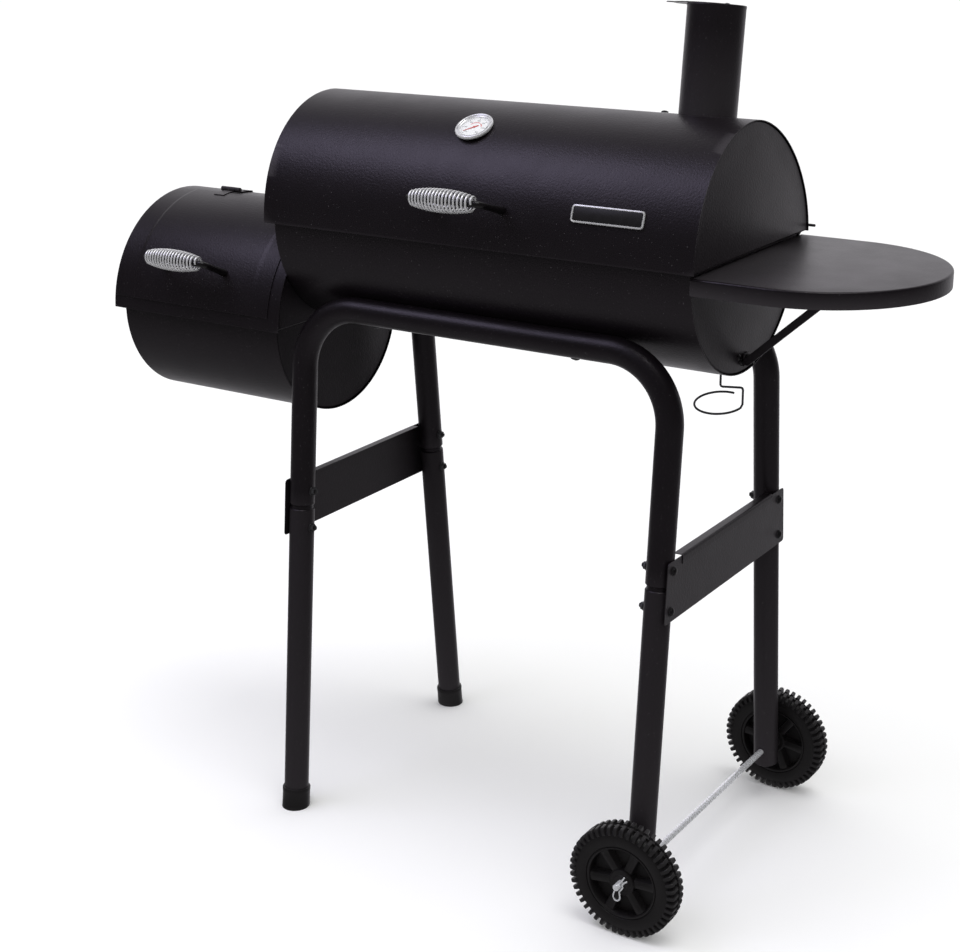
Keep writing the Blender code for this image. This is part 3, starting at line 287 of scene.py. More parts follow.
class Solid:
    """Gathers the surfaces of one piece."""

    def __init__(self):
        self.verts = []
        self.faces = []

    def add(self, verts, faces, place=None):
        base = len(self.verts)
        self.verts += [place @ Vector(v) if place else Vector(v) for v in verts]
        self.faces += [[base + i for i in face] for face in faces]
        return self

    def skin(self, rows, place=None, ring=True, loop=False, caps=True):
        """Quads between rows of points; ring closes each row, and loop joins the last to the first."""
        count = len(rows[0])
        verts = [v for row in rows for v in row]
        faces = []
        for r in range(len(rows) if loop else len(rows) - 1):
            low, high = r * count, (r + 1) % len(rows) * count
            for i in range(count if ring else count - 1):
                j = (i + 1) % count
                faces.append((low + i, low + j, high + j, high + i))
        if caps and not loop:
            faces.append(list(reversed(range(count))))
            faces.append(list(range(len(verts) - count, len(verts))))
        return self.add(verts, faces, place)

    def lathe(self, profile, segments, place=None, loop=False, turn=0.0):
        """Turns (radius, height) points round Z."""
        rows = []
        for radius, height in profile:
            rows.append([Vector((max(radius, 1e-7) * cos(2 * pi * i / segments + turn),
                                 max(radius, 1e-7) * sin(2 * pi * i / segments + turn), height))
                         for i in range(segments)])
        return self.skin(rows, place, loop=loop, caps=not loop)

    def prism(self, outline, low, high, place=None):
        rows = [[Vector((p[0], p[1], level)) for p in outline] for level in (low, high)]
        return self.skin(rows, place)

    def sheet(self, points, xs, thick, place=None, lift=None, keep=None):
        """Sheet metal whose outer face follows a line in the (y, z) plane along x.

        lift gives how far a column stands out, and keep says which cells are there.
        """
        outer, inner = [], []
        last = len(points) - 1
        for point, side in zip(points, sides(points)):
            for x in xs:
                spot = Vector(point) + side * (lift(x) if lift else 0.0)
                under = spot - side * thick
                outer.append((x, spot.x, spot.y))
                inner.append((x, under.x, under.y))
        columns = len(xs)
        cells = [(i, j) for i in range(last) for j in range(columns - 1) if not keep or keep(i / last, xs[j])]
        kept = set(cells)
        base = len(outer)
        faces = []
        for i, j in cells:
            a, b = i * columns + j, i * columns + j + 1
            c, d = b + columns, a + columns
            faces += [(a, b, c, d), (d + base, c + base, b + base, a + base)]
            for step, (p, q) in (((-1, 0), (a, b)), ((0, 1), (b, c)), ((1, 0), (c, d)), ((0, -1), (d, a))):
                if (i + step[0], j + step[1]) not in kept:
                    faces.append((q, p, p + base, q + base))
        return self.add(outer + inner, faces, place)

    def pan(self, outline, depth, thick, radius, place, steps=6):
        """A pressed panel: its face is at w = 0 and its flange bends back to w = -depth."""
        outline = [Vector(p) for p in outline]
        turns = [pi / 2 * k / steps for k in range(steps + 1)]
        bend = radius - thick
        rows = [ring_at(outline, thick + bend * (1 - sin(t)), -thick - bend * (1 - cos(t)))
                for t in turns]
        rows += [ring_at(outline, distance, -depth) for distance in (thick, 0.0)]
        rows += [ring_at(outline, radius * (1 - cos(t)), -radius * (1 - sin(t))) for t in turns]
        return self.skin(rows, place)

    def tube(self, path, radius, steps=16, place=None, scale=None):
        """A round bar along a path, with slightly rounded ends; scale gives a radius factor along it."""
        path = [Vector(p) for p in path]
        last = len(path) - 1
        rows = []
        across = None
        for i, point in enumerate(path):
            along = (path[min(i + 1, last)] - path[max(i - 1, 0)]).normalized()
            if across is None:
                across = along.orthogonal().normalized()
            across = (across - along * across.dot(along)).normalized()
            other = along.cross(across)
            size = radius * (scale(i / last) if scale else 1.0)
            rings = [(0.0, 1.0)]
            if i == 0:
                rings = [(0.0, 0.55), (0.23, 0.90), (0.35, 1.0)]
            elif i == last:
                rings = [(-0.35, 1.0), (-0.23, 0.90), (0.0, 0.55)]
            for shift, part in rings:
                spot = point + along * size * shift
                rows.append([spot + (across * cos(2 * pi * k / steps)
                                     + other * sin(2 * pi * k / steps)) * size * part
                             for k in range(steps)])
        return self.skin(rows, place)

    def done(self, name, material, body, *nodes, bevel=0.0, sharp=38.0):
        mesh = bpy.data.meshes.new(name)
        mesh.from_pydata([tuple(v) for v in self.verts], [], self.faces)
        shape = bmesh.new()
        shape.from_mesh(mesh)
        bmesh.ops.remove_doubles(shape, verts=shape.verts, dist=2e-6)
        bmesh.ops.dissolve_degenerate(shape, edges=shape.edges, dist=1e-6)
        bmesh.ops.recalc_face_normals(shape, faces=shape.faces)
        shape.to_mesh(mesh)
        shape.free()
        mesh.materials.append(material)
        shade(mesh, sharp)
        piece = add_object(name, mesh)
        if bevel:
            rounding = piece.modifiers.new("rounding", "BEVEL")
            rounding.width = bevel
            rounding.segments = 2
            rounding.limit_method = "ANGLE"
            rounding.angle_limit = radians(48)
            rounding.harden_normals = True
        if body:
            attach(piece, body)
        if nodes:
            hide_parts(*nodes)
        return piece


def carve(piece, *tools):
    """Cuts the tools' volumes out of a piece and removes them."""
    for solid in tools:
        tool = solid.done(piece.name + "_tool", PAINT, None)
        cut = piece.modifiers.new("cut", "BOOLEAN")
        cut.operation = "DIFFERENCE"
        cut.solver = "EXACT"
        cut.object = tool
        piece.modifiers.move(len(piece.modifiers) - 1, 0)
        seen = piece.modifiers.get("rounding")
        if seen:
            seen.show_viewport = False
        bpy.context.view_layer.update()
        graph = bpy.context.evaluated_depsgraph_get()
        mesh = bpy.data.meshes.new_from_object(piece.evaluated_get(graph))
        piece.modifiers.remove(cut)
        piece.data = mesh
        shade(mesh)
        if seen:
            seen.show_viewport = True
        bpy.data.objects.remove(tool)
    return piece


def drill(radius, low, high, place):
    return Solid().lathe([(radius, low), (radius, high)], 48, place)


def dome(radius, height, base=0.0):
    """Profile of a low domed head."""
    points = [(radius * 0.97, base), (radius, base + height * 0.14)]
    for k in range(1, 8):
        t = pi / 2 * k / 7
        points.append((radius * cos(t), base + height * (0.14 + 0.86 * sin(t))))
    return points


def hex_nut(solid, place, across=0.0058, height=0.0050, bolt=0.0030, stick=0.0032):
    """A hexagon nut on a threaded end that stands out of it."""
    solid.lathe([(across, 0), (across, height * 0.82), (across * 0.88, height), (bolt, height)], 6, place)
    thread = [(bolt, height - 0.001)]
    turns = 4
    for k in range(turns):
        low = height + stick * k / turns
        thread += [(bolt * 0.86, low + stick * 0.10), (bolt, low + stick * 0.17)]
    thread.append((bolt * 0.7, height + stick))
    solid.lathe(thread, 20, place)


# ---- barrel and lid ----
def lid_point(angle, inside=0.0):
    """A point of the lid's outline, from the front edge at 0 over the top to pi at the back."""
    c = cos(angle)
    s = max(sin(angle), 0.0)
    power = 2.06 if c > 0 else 1.75
    reach = LID_PEAK_Y - LID_LOW.y if c > 0 else LID_HIGH.y - LID_PEAK_Y
    y = LID_PEAK_Y - copysign((reach - inside) * abs(c) ** (2 / power), c)
    return Vector((y, SEAM_Z + (LID_H - inside) * s ** (2 / power)))


def lid_normal(angle):
    along = (lid_point(angle + 0.01) - lid_point(angle - 0.01)).normalized()
    return Vector((-along.y, along.x))


def lid_line(steps, inside=0.0):
    return [lid_point(pi * (1 - i / steps), inside) for i in range(steps + 1)]


def ridge_at(x):
    """A point on the line along the lid, just behind its ridge, where the chimney stands."""
    return Vector((x, CHIMNEY_Y, lid_point(pi / 2 + 0.18).y))


def chimney_place():
    return place_at(ridge_at(span_of("chimney_pipe")[0].x), JOINTS["damper_swivel"]["axis"])


def build_end(name, side, outline, depth, corner, body="cart", face=None):
    """A pressed end panel, whose face is the outer end of its node's box unless it is given."""
    if face is None:
        low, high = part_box(name)
        face = high.x if side > 0 else low.x
    panel = Solid().pan(outline, depth, SHEET, corner, section_at(face, side))
    return panel.done(name + "_panel", PAINT, body, name)


def cut_flue(panel, x, reach=0.01):
    carve(panel, drill(FLUE_R, -reach, reach, place_at((x, 0, FLUE_Z), (1, 0, 0), (0, 1, 0))))


def build_lid():
    xs = [LID_LOW.x, LID_LOW.x + 0.02, MID_X, LID_HIGH.x - 0.02, LID_HIGH.x]
    shell = Solid().sheet(lid_line(120), xs, SHEET).done("lid_panel", PAINT, "lid", "lid_shell", bevel=EDGE)
    carve(shell, drill(CHIMNEY_HOLE_R, -0.04, 0.04, chimney_place()))
    outline = lid_line(96, SHEET + GAP)
    outline[0].y = outline[-1].y = SEAM_Z + 0.0004
    outline = rounded(outline, 0.003, closed=True, sharp=40)
    for end, side in ENDS:
        build_end("lid_end_" + end, side, outline, END_DEPTH / 2, 0.0026, "lid")
    ridge = Solid()
    pipe_x = chimney_place().translation.x
    spot = place_at(ridge_at(pipe_x - 0.065), (0, 0.13, 1))
    ridge.lathe(dome(0.0052, 0.0030, -0.0004), 24, spot)
    hex_nut(ridge, spot @ moved(0, 0, -0.0016) @ turned(pi, "X"))
    ridge.done("ridge_bolts", BOLT, "lid")


def build_trough():
    rim = TROUGH_HIGH.z
    bowl = arc((0, SEAM_Z), BARREL_R, pi, 2 * pi, 96)
    line = [(-BARREL_R, rim), (-BARREL_R, SEAM_Z + 0.004)] + bowl
    line += [(BARREL_R, SEAM_Z + 0.004), (BARREL_R, rim)]
    xs = [TROUGH_LOW.x, TROUGH_LOW.x + 0.02, MID_X, TROUGH_HIGH.x - 0.02, TROUGH_HIGH.x]
    trough = Solid().sheet(line, xs, SHEET).done("trough_panel", PAINT, "cart", "barrel_trough", bevel=EDGE)
    carve(trough, drill(0.0021, -0.01, 0.01, moved(HOOK_X, 0, TROUGH_LOW.z)))
    radius = BARREL_R - SHEET - GAP
    outline = [(-radius, rim)] + arc((0, SEAM_Z), radius, pi, 2 * pi, 80) + [(radius, rim)]
    outline = rounded(outline, 0.004, closed=True, sharp=40)
    left = build_end("barrel_end_left", -1, outline, END_DEPTH, 0.0036)
    cut_flue(left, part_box("barrel_end_left")[0].x)
    build_end("barrel_end_right", 1, outline, END_DEPTH, 0.0036)


# ---- firebox ----
def fire_line(radius, start, end, steps):
    """Points round the firebox; angles go upwards from its front and over the top."""
    points = []
    for i in range(steps + 1):
        angle = start + (end - start) * i / steps
        points.append(Vector((-radius * cos(angle), FIRE_Z + radius * sin(angle))))
    return points


def build_firebox():
    seam = FIRE_HIGH.z
    lip = FIRE_UP_R - SHEET - GAP
    line = [(-lip, seam), (-FIRE_LOW_R, seam)] + arc((0, FIRE_Z), FIRE_LOW_R, pi, 2 * pi, 88)
    line += [(FIRE_LOW_R, seam), (lip, seam)]
    line = rounded(line, 0.0025, 4, sharp=30)
    xs = [FIRE_LOW.x, FIRE_LOW.x + 0.015, (FIRE_LOW.x + FIRE_HIGH.x) / 2, FIRE_HIGH.x - 0.015, FIRE_HIGH.x]
    Solid().sheet(line, xs, SHEET).done("firebox_bowl", PAINT, "cart", "firebox_lower_shell", bevel=EDGE)
    radius = FIRE_LOW_R - SHEET - GAP
    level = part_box("firebox_lower_end_left")[1].z
    outline = [(-radius, level)] + arc((0, FIRE_Z), radius, pi, 2 * pi, 72) + [(radius, level)]
    outline = rounded(outline, 0.004, closed=True, sharp=40)
    shutter = JOINTS["air_shutter_turn"]["pos_m"]
    left = build_end("firebox_lower_end_left", -1, outline, END_DEPTH, 0.0040, face=shutter[0])
    spot = place_at(shutter, (-1, 0, 0), (0, 1, 0))
    carve(left, *air_holes(spot, 0.0))
    rivet = Solid().lathe([(0.0024, -0.002)] + dome(0.0048, 0.0022, 0.0022), 28, spot)
    rivet.done("shutter_rivet", BOLT, "cart")
    build_end("firebox_lower_end_right", 1, outline, END_DEPTH, 0.0040)
    build_firebox_top()
    build_shutter(spot)


def air_holes(spot, start):
    """Tools for four round holes about the shutter's middle."""
    return [drill(0.0085, -0.01, 0.01, spot @ turned(start + pi / 2 * k) @ moved(0.021, 0, 0))
            for k in range(4)]


def build_firebox_top():
    start = asin((TOP_LOW.z - FIRE_Z) / FIRE_UP_R)
    line = fire_line(FIRE_UP_R, pi - start, start, 120)
    hole = (DOOR_LOW.x + 0.033, DOOR_HIGH.x - 0.027)
    xs = [TOP_LOW.x, TOP_LOW.x + 0.012, *hole, TOP_HIGH.x - 0.012, TOP_HIGH.x]

    def solid_there(share, x):
        angle = pi - start + (2 * start - pi) * (share + 0.5 / 120)
        return not (DOOR_HOLE[0] < angle < DOOR_HOLE[1] and hole[0] - 1e-6 <= x < hole[1] - 1e-6)

    top = Solid().sheet(line, xs, SHEET, keep=solid_there)
    top.done("firebox_cover", PAINT, "cart", "firebox_upper_shell", bevel=EDGE)
    radius = FIRE_UP_R - SHEET - GAP
    base = TOP_LOW.z + SHEET + 0.0012
    low_angle = asin((base - FIRE_Z) / radius)
    outline = fire_line(radius, pi - low_angle, low_angle, 80)
    outline = rounded(outline, 0.004, closed=True, sharp=40)
    for end, face, side in (("left", TOP_LOW.x + 0.0015, -1), ("right", TOP_HIGH.x - 0.0015, 1)):
        panel = Solid().pan(outline, END_DEPTH, SHEET, 0.0036, section_at(face, side))
        panel = panel.done("firebox_cover_end_" + end, PAINT, "cart")
        if side > 0:
            cut_flue(panel, face, 0.02)


def build_shutter(spot):
    profile = [(0.0023, GAP), (0.0405, GAP), (0.0420, GAP + 0.0006), (0.0416, GAP + SHEET),
               (0.0398, GAP + SHEET + 0.0004), (0.0380, GAP + SHEET), (0.0023, GAP + SHEET)]
    disc = Solid().lathe(profile, 72, spot, loop=True)
    disc = disc.done("shutter_disc", PAINT, "air_shutter", "air_shutter")
    carve(disc, *air_holes(spot, radians(22)))
    knob = [(0.0024, 0.001), (0.0026, 0.0040), (0.0040, 0.0046), (0.0044, 0.0060), (0.0044, 0.0082),
            (0.0038, 0.0094), (0.0020, 0.0099), (0.0, 0.0099)]
    knob = Solid().lathe(knob, 28, spot @ moved(0, -0.035, 0))
    knob.done("shutter_knob", BOLT, "air_shutter")


def build_door():
    radius = FIRE_UP_R + GAP + SHEET
    line = fire_line(radius, DOOR_ARC[1], DOOR_ARC[0], 90)
    left, right = DOOR_LOW.x + 0.037, DOOR_HIGH.x - 0.032
    width = 0.0035
    press = 0.0011
    xs = [DOOR_LOW.x, DOOR_LOW.x + 0.004]
    for middle in (left, right):
        xs += [middle + width * k / 4 for k in range(-4, 5)]
    xs += [DOOR_HIGH.x - 0.004, DOOR_HIGH.x]
    xs.sort()

    def raised(x):
        """The middle of the door is pressed out a little between two soft steps."""
        rise = 1.0
        for middle, sign in ((left, 1), (right, -1)):
            t = min(max((sign * (x - middle) / width + 1) / 2, 0.0), 1.0)
            rise *= t * t * (3 - 2 * t)
        return press * rise

    door = Solid().sheet(line, xs, SHEET, lift=raised)
    door.done("door_panel", PAINT, "firebox_door", "firebox_door", bevel=EDGE)
    x = (DOOR_LOW.x + DOOR_HIGH.x) / 2 + 0.003
    spot = fire_line(radius + press, radians(13.5), 0, 1)[0]
    place = place_at((x, spot.x, spot.y), (0, spot.x, spot.y - FIRE_Z))
    Solid().lathe(dome(0.0026, 0.0013, -0.0002), 20, place).done("door_rivet", PAINT, "firebox_door")


# ---- grips ----
def build_grip(prefix, body, foot, normal):
    """A bent rod on two feet, with a barrel-shaped spring of bright wire round its middle."""
    middle, coil_size = span_of(prefix + "_coil")
    foot_x = span_of(prefix + "_rod")[1].x - ROD_R
    start = Vector((0, foot.x, foot.y)) + Vector((0, normal.x, normal.y)) * GAP
    line = Vector((0, middle.y, middle.z))
    reach = (line - start).normalized()
    bend = 0.0100
    elbow = line - reach * bend
    right = [start + (elbow - start) * k / 6 + Vector((foot_x, 0, 0)) for k in range(7)]
    for i in range(1, 10):
        t = i / 9 * pi / 2
        right.append(elbow + reach * bend * sin(t)
                     + Vector((foot_x - bend * 0.85 * (1 - cos(t)), 0, 0)))
    path = [Vector((-p.x, p.y, p.z)) for p in right] + list(reversed(right))
    path = [p + Vector((middle.x, 0, 0)) for p in path]
    feet = [start + Vector((middle.x + side * foot_x, 0, 0)) for side in (-1, 1)]

    def swell(share):
        """The rod thickens towards each foot."""
        spot = path[round(share * (len(path) - 1))]
        reach_out = min((spot - foot).length for foot in feet)
        return 0.93 + 0.27 * max(0.0, 1 - reach_out / 0.040) ** 1.5

    bar = Solid().tube(path, ROD_R, 24, scale=swell)
    bar.done(prefix + "_bar", GLOSS, body, prefix + "_rod")
    wire = 0.00145
    neck = 0.0110
    turns = 17.5
    steps = int(turns * 26)
    coil = []
    for i in range(steps + 1):
        t = 2 * i / steps - 1
        radius = neck + (coil_size.z - neck) * (1 - abs(t) ** 2.2) - wire
        tail = max(0.0, (abs(t) - 0.955) / 0.045)
        radius -= 0.0035 * tail * tail
        along = t * (coil_size.x - wire) * (1 - 0.06 * (1 - abs(t)) ** 2)
        turn = 2 * pi * turns * i / steps
        coil.append(middle + Vector((along, radius * cos(turn), radius * sin(turn))))
    Solid().tube(coil, wire, 10).done(prefix + "_spring", SPRING, body, prefix + "_coil")


def build_grips():
    angle = radians(17.5)
    build_grip("lid_grip", "lid", lid_point(angle), lid_normal(angle))
    foot = fire_line(FIRE_UP_R + GAP + SHEET + 0.0009, radians(28), 0, 1)[0]
    build_grip("door_grip", "firebox_door", foot, Vector((foot.x, foot.y - FIRE_Z)).normalized())


# ---- hinges ----
def knuckle(bore, low, high, radius=0.0038, edge=0.0004):
    """Profile of a rolled knuckle with eased edges."""
    return [(bore, low), (radius - edge, low), (radius, low + edge), (radius, high - edge),
            (radius - edge, high), (bore, high)]


def build_hinge(prefix, body, fixed_line, moving_line, joint):
    """Two leaves on one pin; the fixed line runs to the knuckle and the moving line away from it."""
    low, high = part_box(prefix + "_fixed")
    middle, size = span_of(prefix + "_moving")
    x, half = middle.x, size.x
    axis = Vector(JOINTS[joint]["pos_m"])
    centre = place_at((x, axis.y, axis.z), (1, 0, 0), (0, 1, 0))
    wide = 0.0190
    fixed = Solid()
    fixed.sheet(rounded(fixed_line, 0.004, 4), [x - wide, x + wide], PLATE)
    for side in (-1, 1):
        ends = sorted((side * (half + GAP), side * wide))
        fixed.lathe(knuckle(0.0021, *ends), 28, centre, loop=True)
        tab = Vector(fixed_line[0])
        cheek = [tab, (tab + axis.yz) / 2]
        fixed.sheet(cheek, [x + end for end in ends], PLATE * 0.9)
    fixed.lathe(knuckle(0.0, low.x - x, high.x - x, 0.0020, 0.0006), 20, centre)
    fixed.done(prefix + "_leaf", PAINT, "cart", prefix + "_fixed", bevel=0.0003)
    moving = Solid()
    moving.sheet(rounded(moving_line, 0.004, 4), [x - half, x + half], PLATE)
    moving.lathe(knuckle(0.0022, -half, half), 28, centre, loop=True)
    moving.done(prefix + "_flap", PAINT, body, prefix + "_moving", bevel=0.0003)


def build_hinges():
    axis = Vector(JOINTS["lid_hinge"]["pos_m"])
    face = BARREL_R + PLATE + GAP
    for end in ("left", "right"):
        fixed = [(face, SEAM_Z - 0.036), (face, SEAM_Z - 0.012), (axis.y + PLATE / 2, SEAM_Z - 0.003),
                 (axis.y + PLATE / 2, axis.z - 0.0052)]
        moving = [(axis.y + 0.0036, axis.z + 0.0012)]
        for angle in (pi - rise for rise in (0.06, 0.09, 0.12, 0.15)):
            moving.append(lid_point(angle) + lid_normal(angle) * (GAP + PLATE))
        build_hinge("lid_hinge_" + end, "lid", fixed, moving, "lid_hinge")
    axis = Vector(JOINTS["door_hinge"]["pos_m"])
    radius = FIRE_UP_R + GAP
    for end in ("left", "right"):
        fixed = fire_line(radius + PLATE, radians(100), radians(91.5), 4)
        moving = fire_line(radius + SHEET + GAP + PLATE, radians(88.2), radians(80), 6)
        build_hinge("door_hinge_" + end, "firebox_door", fixed, moving, "door_hinge")


# ---- chimney ----
def build_chimney():
    base = chimney_place()
    radius = span_of("chimney_pipe")[1].x
    pivot = Vector(JOINTS["damper_swivel"]["pos_m"])
    length = (base.inverted() @ pivot).z
    wall = radius - SHEET
    rim = radius + 0.0004
    profile = [(wall, -0.018), (radius, -0.018), (radius, length - 0.0040), (rim, length - 0.0026),
               (rim, length - 0.0008), (radius, length), (wall, length), (wall, length - 0.004)]
    pipe = Solid().lathe(profile, 96, base, loop=True)
    top = base @ moved(0, 0, length)
    pipe.prism(rectangle(-0.006, 0.006, 0.025, wall), -0.0035, -0.0015, top)
    spot = place_at(pivot, JOINTS["damper_swivel"]["axis"])
    pipe.done("chimney_stack", PAINT, "lid", "chimney_pipe")
    rivet = Solid().lathe([(0.0020, -0.004)] + dome(0.0042, 0.0022, 0.0021), 24, spot)
    hex_nut(rivet, spot @ moved(0, 0, -0.0036) @ turned(pi, "X"),
            0.0046, 0.0030, 0.0020, 0.0020)
    rivet.done("damper_screw", BOLT, "lid")
    open_by = radians(57.6)
    centre = spot @ turned(-open_by) @ moved(0, -0.0310, 0)
    disc_r = 0.0415
    half_tab = 0.006
    start = asin(half_tab / disc_r)
    outline = arc((0, 0), disc_r, start - pi / 2, 3 * pi / 2 - start, 84)
    outline += [(-half_tab, -0.0492), (-half_tab + 0.002, -0.0505), (half_tab - 0.002, -0.0505),
                (half_tab, -0.0492)]
    plate = Solid().prism(outline, 0.0006, 0.0018, centre)
    plate.done("damper_plate", PAINT, "chimney_damper", "chimney_damper", bevel=0.0003)


# ---- thermometer and badge ----
def build_thermometer():
    joint = JOINTS["needle_turn"]
    dial = place_at(joint["pos_m"], joint["axis"])
    rim = ((0.0030, 0.0006), (0.0012, 0.0010), (0.0003, 0.0024), (0.0, 0.0032), (0.0001, 0.0046),
           (0.0008, 0.0056), (0.0019, 0.0058), (0.0030, 0.0053), (0.0036, 0.0044), (0.0043, 0.0047),
           (0.0052, 0.0048), (0.0060, 0.0043), (0.0063, 0.0018))
    case = [(0.0, -0.052), (0.0015, -0.052), (0.0030, -0.046), (0.0040, -0.014), (0.0040, 0.0006)]
    case += [(DIAL_R - inwards, level) for inwards, level in rim] + [(0.0, 0.0018)]
    bezel = Solid().lathe(case, 96, dial).done("thermometer_bezel", SPRING, "lid", "thermometer_case")
    notch = rectangle(-0.0011, 0.0011, -0.0022, 0.0022)
    notches = [dial @ turned(radians(a)) @ moved(DIAL_R - 0.0030, 0, 0) for a in (21, 201)]
    carve(bezel, *[Solid().prism(notch, 0.0040, 0.02, place) for place in notches])
    inner = 0.0212
    face = Solid().lathe([(0.0, 0.00185), (inner, 0.00185), (inner, 0.0023), (inner - 0.0004, 0.0024),
                          (0.0, 0.0024)], 72, dial)
    face.done("thermometer_dial", DIAL_WHITE, "lid")
    build_scale(dial)
    needle = Solid()
    turn = dial @ turned(radians(127.0))
    needle.prism([(-0.0010, -0.0062), (0.0010, -0.0062), (0.0012, 0.0), (0.0003, 0.0160), (0.0, 0.0168),
                  (-0.0003, 0.0160), (-0.0012, 0.0)], 0.0026, 0.0030, turn)
    needle.lathe([(0.0006, 0.0024)] + dome(0.0019, 0.0006, 0.0029), 24, turn)
    needle.done("dial_pointer", RED, "thermometer_needle", "thermometer_needle", bevel=0.0001)
    pane = Solid().lathe([(0.0, 0.0038), (inner, 0.0038)] + dome(inner, 0.0006, 0.0040), 72, dial)
    pane = pane.done("thermometer_pane", GLASS, "lid", "thermometer_glass")
    pane.visible_shadow = False
    pane.visible_diffuse = False


def dial_turn(share):
    """Where a share of the way along the scale lies, clockwise from the lower left."""
    return radians(230 - 280 * share)


def build_scale(dial):
    """Ticks, numbers and two coloured bands on the dial."""
    marks = Solid()
    for k in range(31):
        inner, wide = (0.0165, 0.00030) if k % 5 == 0 else (0.0180, 0.00016)
        tick = rectangle(inner, 0.0196, -wide, wide)
        marks.prism(tick, 0.00225, 0.00248, dial @ turned(dial_turn(k / 30)))
    marks.done("dial_marks", INK, "lid")
    band = Solid()
    for angles in ((62, 150), (10, 52)):
        start, end = (radians(a) for a in angles)
        ring = arc((0, 0), 0.0104, start, end, 24) + arc((0, 0), 0.0092, end, start, 24)
        band.prism(ring, 0.00225, 0.00247, dial)
    band.done("dial_band", RED, "lid")
    for k in range(7):
        angle = dial_turn(k / 6)
        curve = bpy.data.curves.new("dial_number", "FONT")
        curve.body = str(100 * (k + 1))
        curve.size = 0.0034
        curve.extrude = 0.0001
        curve.align_x = "CENTER"
        curve.align_y = "CENTER"
        text = add_object("text", curve)
        bpy.context.view_layer.update()
        mesh = bpy.data.meshes.new_from_object(text.evaluated_get(bpy.context.evaluated_depsgraph_get()))
        bpy.data.objects.remove(text)
        mesh.transform(dial @ moved(0.0137 * cos(angle), 0.0137 * sin(angle), 0.00235))
        number = add_object("dial_number_" + str(k), mesh)
        mesh.materials.clear()
        mesh.materials.append(INK)
        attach(number, "lid")


def build_badge():
    centre, size = span_of("badge_plate")
    angle = min((radians(a / 4) for a in range(20, 200)), key=lambda a: abs(lid_point(a).y - centre.z))
    spot = lid_point(angle)
    out = lid_normal(angle)
    place = place_at((centre.x, spot.x, spot.y), (0, out.x, out.y))
    half, tall = size.x, 0.0120
    outline = rounded(rectangle(-half, half, -tall, tall), 0.006, 8, closed=True)
    steps = ((0.0004, 0.0003), (0.0, 0.0008), (0.0, 0.0022), (0.0005, 0.0030), (0.0018, 0.0032),
             (0.0024, 0.0027), (0.0026, 0.0018))
    frame_rows = [ring_at(outline, *step) for step in steps]
    Solid().skin(frame_rows, place).done("badge_frame", SPRING, "lid", "badge_plate")
    field = inset(outline, 0.0027)
    field_rows = [ring_at(field, *step) for step in ((0.0, 0.0016), (0.0, 0.0022), (0.0006, 0.0025))]
    Solid().skin(field_rows, place).done("badge_field", PLASTIC, "lid")


# ---- stand ----
def leg_y(height):
    return LEG_Y_FLOOR - LEG_SPLAY * height


def leg_place(side_x, side_y):
    return place_at((MID_X + side_x * LEG_X, side_y * LEG_Y_FLOOR, 0), (0, -side_y * LEG_SPLAY, 1))


def build_stand():
    stretch = sqrt(1 + LEG_SPLAY ** 2)
    for depth, side_y in DEPTHS:
        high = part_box("stand_" + depth + "_tube")[1]
        up = Vector((0, -side_y * LEG_SPLAY, 1)).normalized()
        origin = Vector((MID_X, side_y * LEG_Y_FLOOR, 0))
        joint = SLIP_Z * stretch
        top = (high.z - TUBE_R / stretch) * stretch
        bend = 0.0950
        half = [(LEG_X, joint), (LEG_X, joint + 0.04), (LEG_X, top - bend - 0.002)]
        for i in range(25):
            t = pi / 2 * i / 24
            half.append((LEG_X - bend * (1 - cos(t)), top - bend * (1 - sin(t))))
        half.append((LEG_X - bend - 0.02, top))
        line = [(-x, s) for x, s in half] + list(reversed(half))
        path = [origin + Vector((x, 0, 0)) + up * s for x, s in line]
        tube = Solid().tube(path, TUBE_R, 48)
        tube.done("stand_bow_" + depth, PAINT, "cart", "stand_" + depth + "_tube")
        saddle = Solid()
        bar = origin + up * top
        for x in (-0.181, 0.156):
            out = Vector((0, -side_y * 0.25, -0.97))
            place = place_at(Vector((MID_X + x, bar.y, bar.z)) + out * (TUBE_R - 0.0006), out)
            washer = [(0.0085, 0.0), (0.0085, 0.0009), (0.0060, 0.0012)]
            saddle.lathe(washer + dome(0.0062, 0.0044, 0.0010), 28, place)
        saddle.done("saddle_bolts_" + depth, BOLT, "cart")
        for end, side_x in ENDS:
            build_leg(depth + "_" + end, side_x, side_y, joint)


def build_feet():
    for depth, side_y in DEPTHS:
        foot = Solid()
        place = leg_place(-1, side_y)
        tall = 0.0330
        foot.lathe([(0.0190, -0.012), (0.0216, -0.010), (0.0218, 0.0040), (0.0214, tall - 0.0070),
                    (0.0218, tall - 0.0062), (0.0218, tall - 0.0018), (0.0212, tall - 0.0004),
                    (0.0196, tall), (0.0192, tall - 0.003)], 48, place)
        for vert in foot.verts:
            vert.z = max(vert.z, 0.0)
        foot.done("foot_" + depth, PLASTIC, "cart", "foot_cap_" + depth)


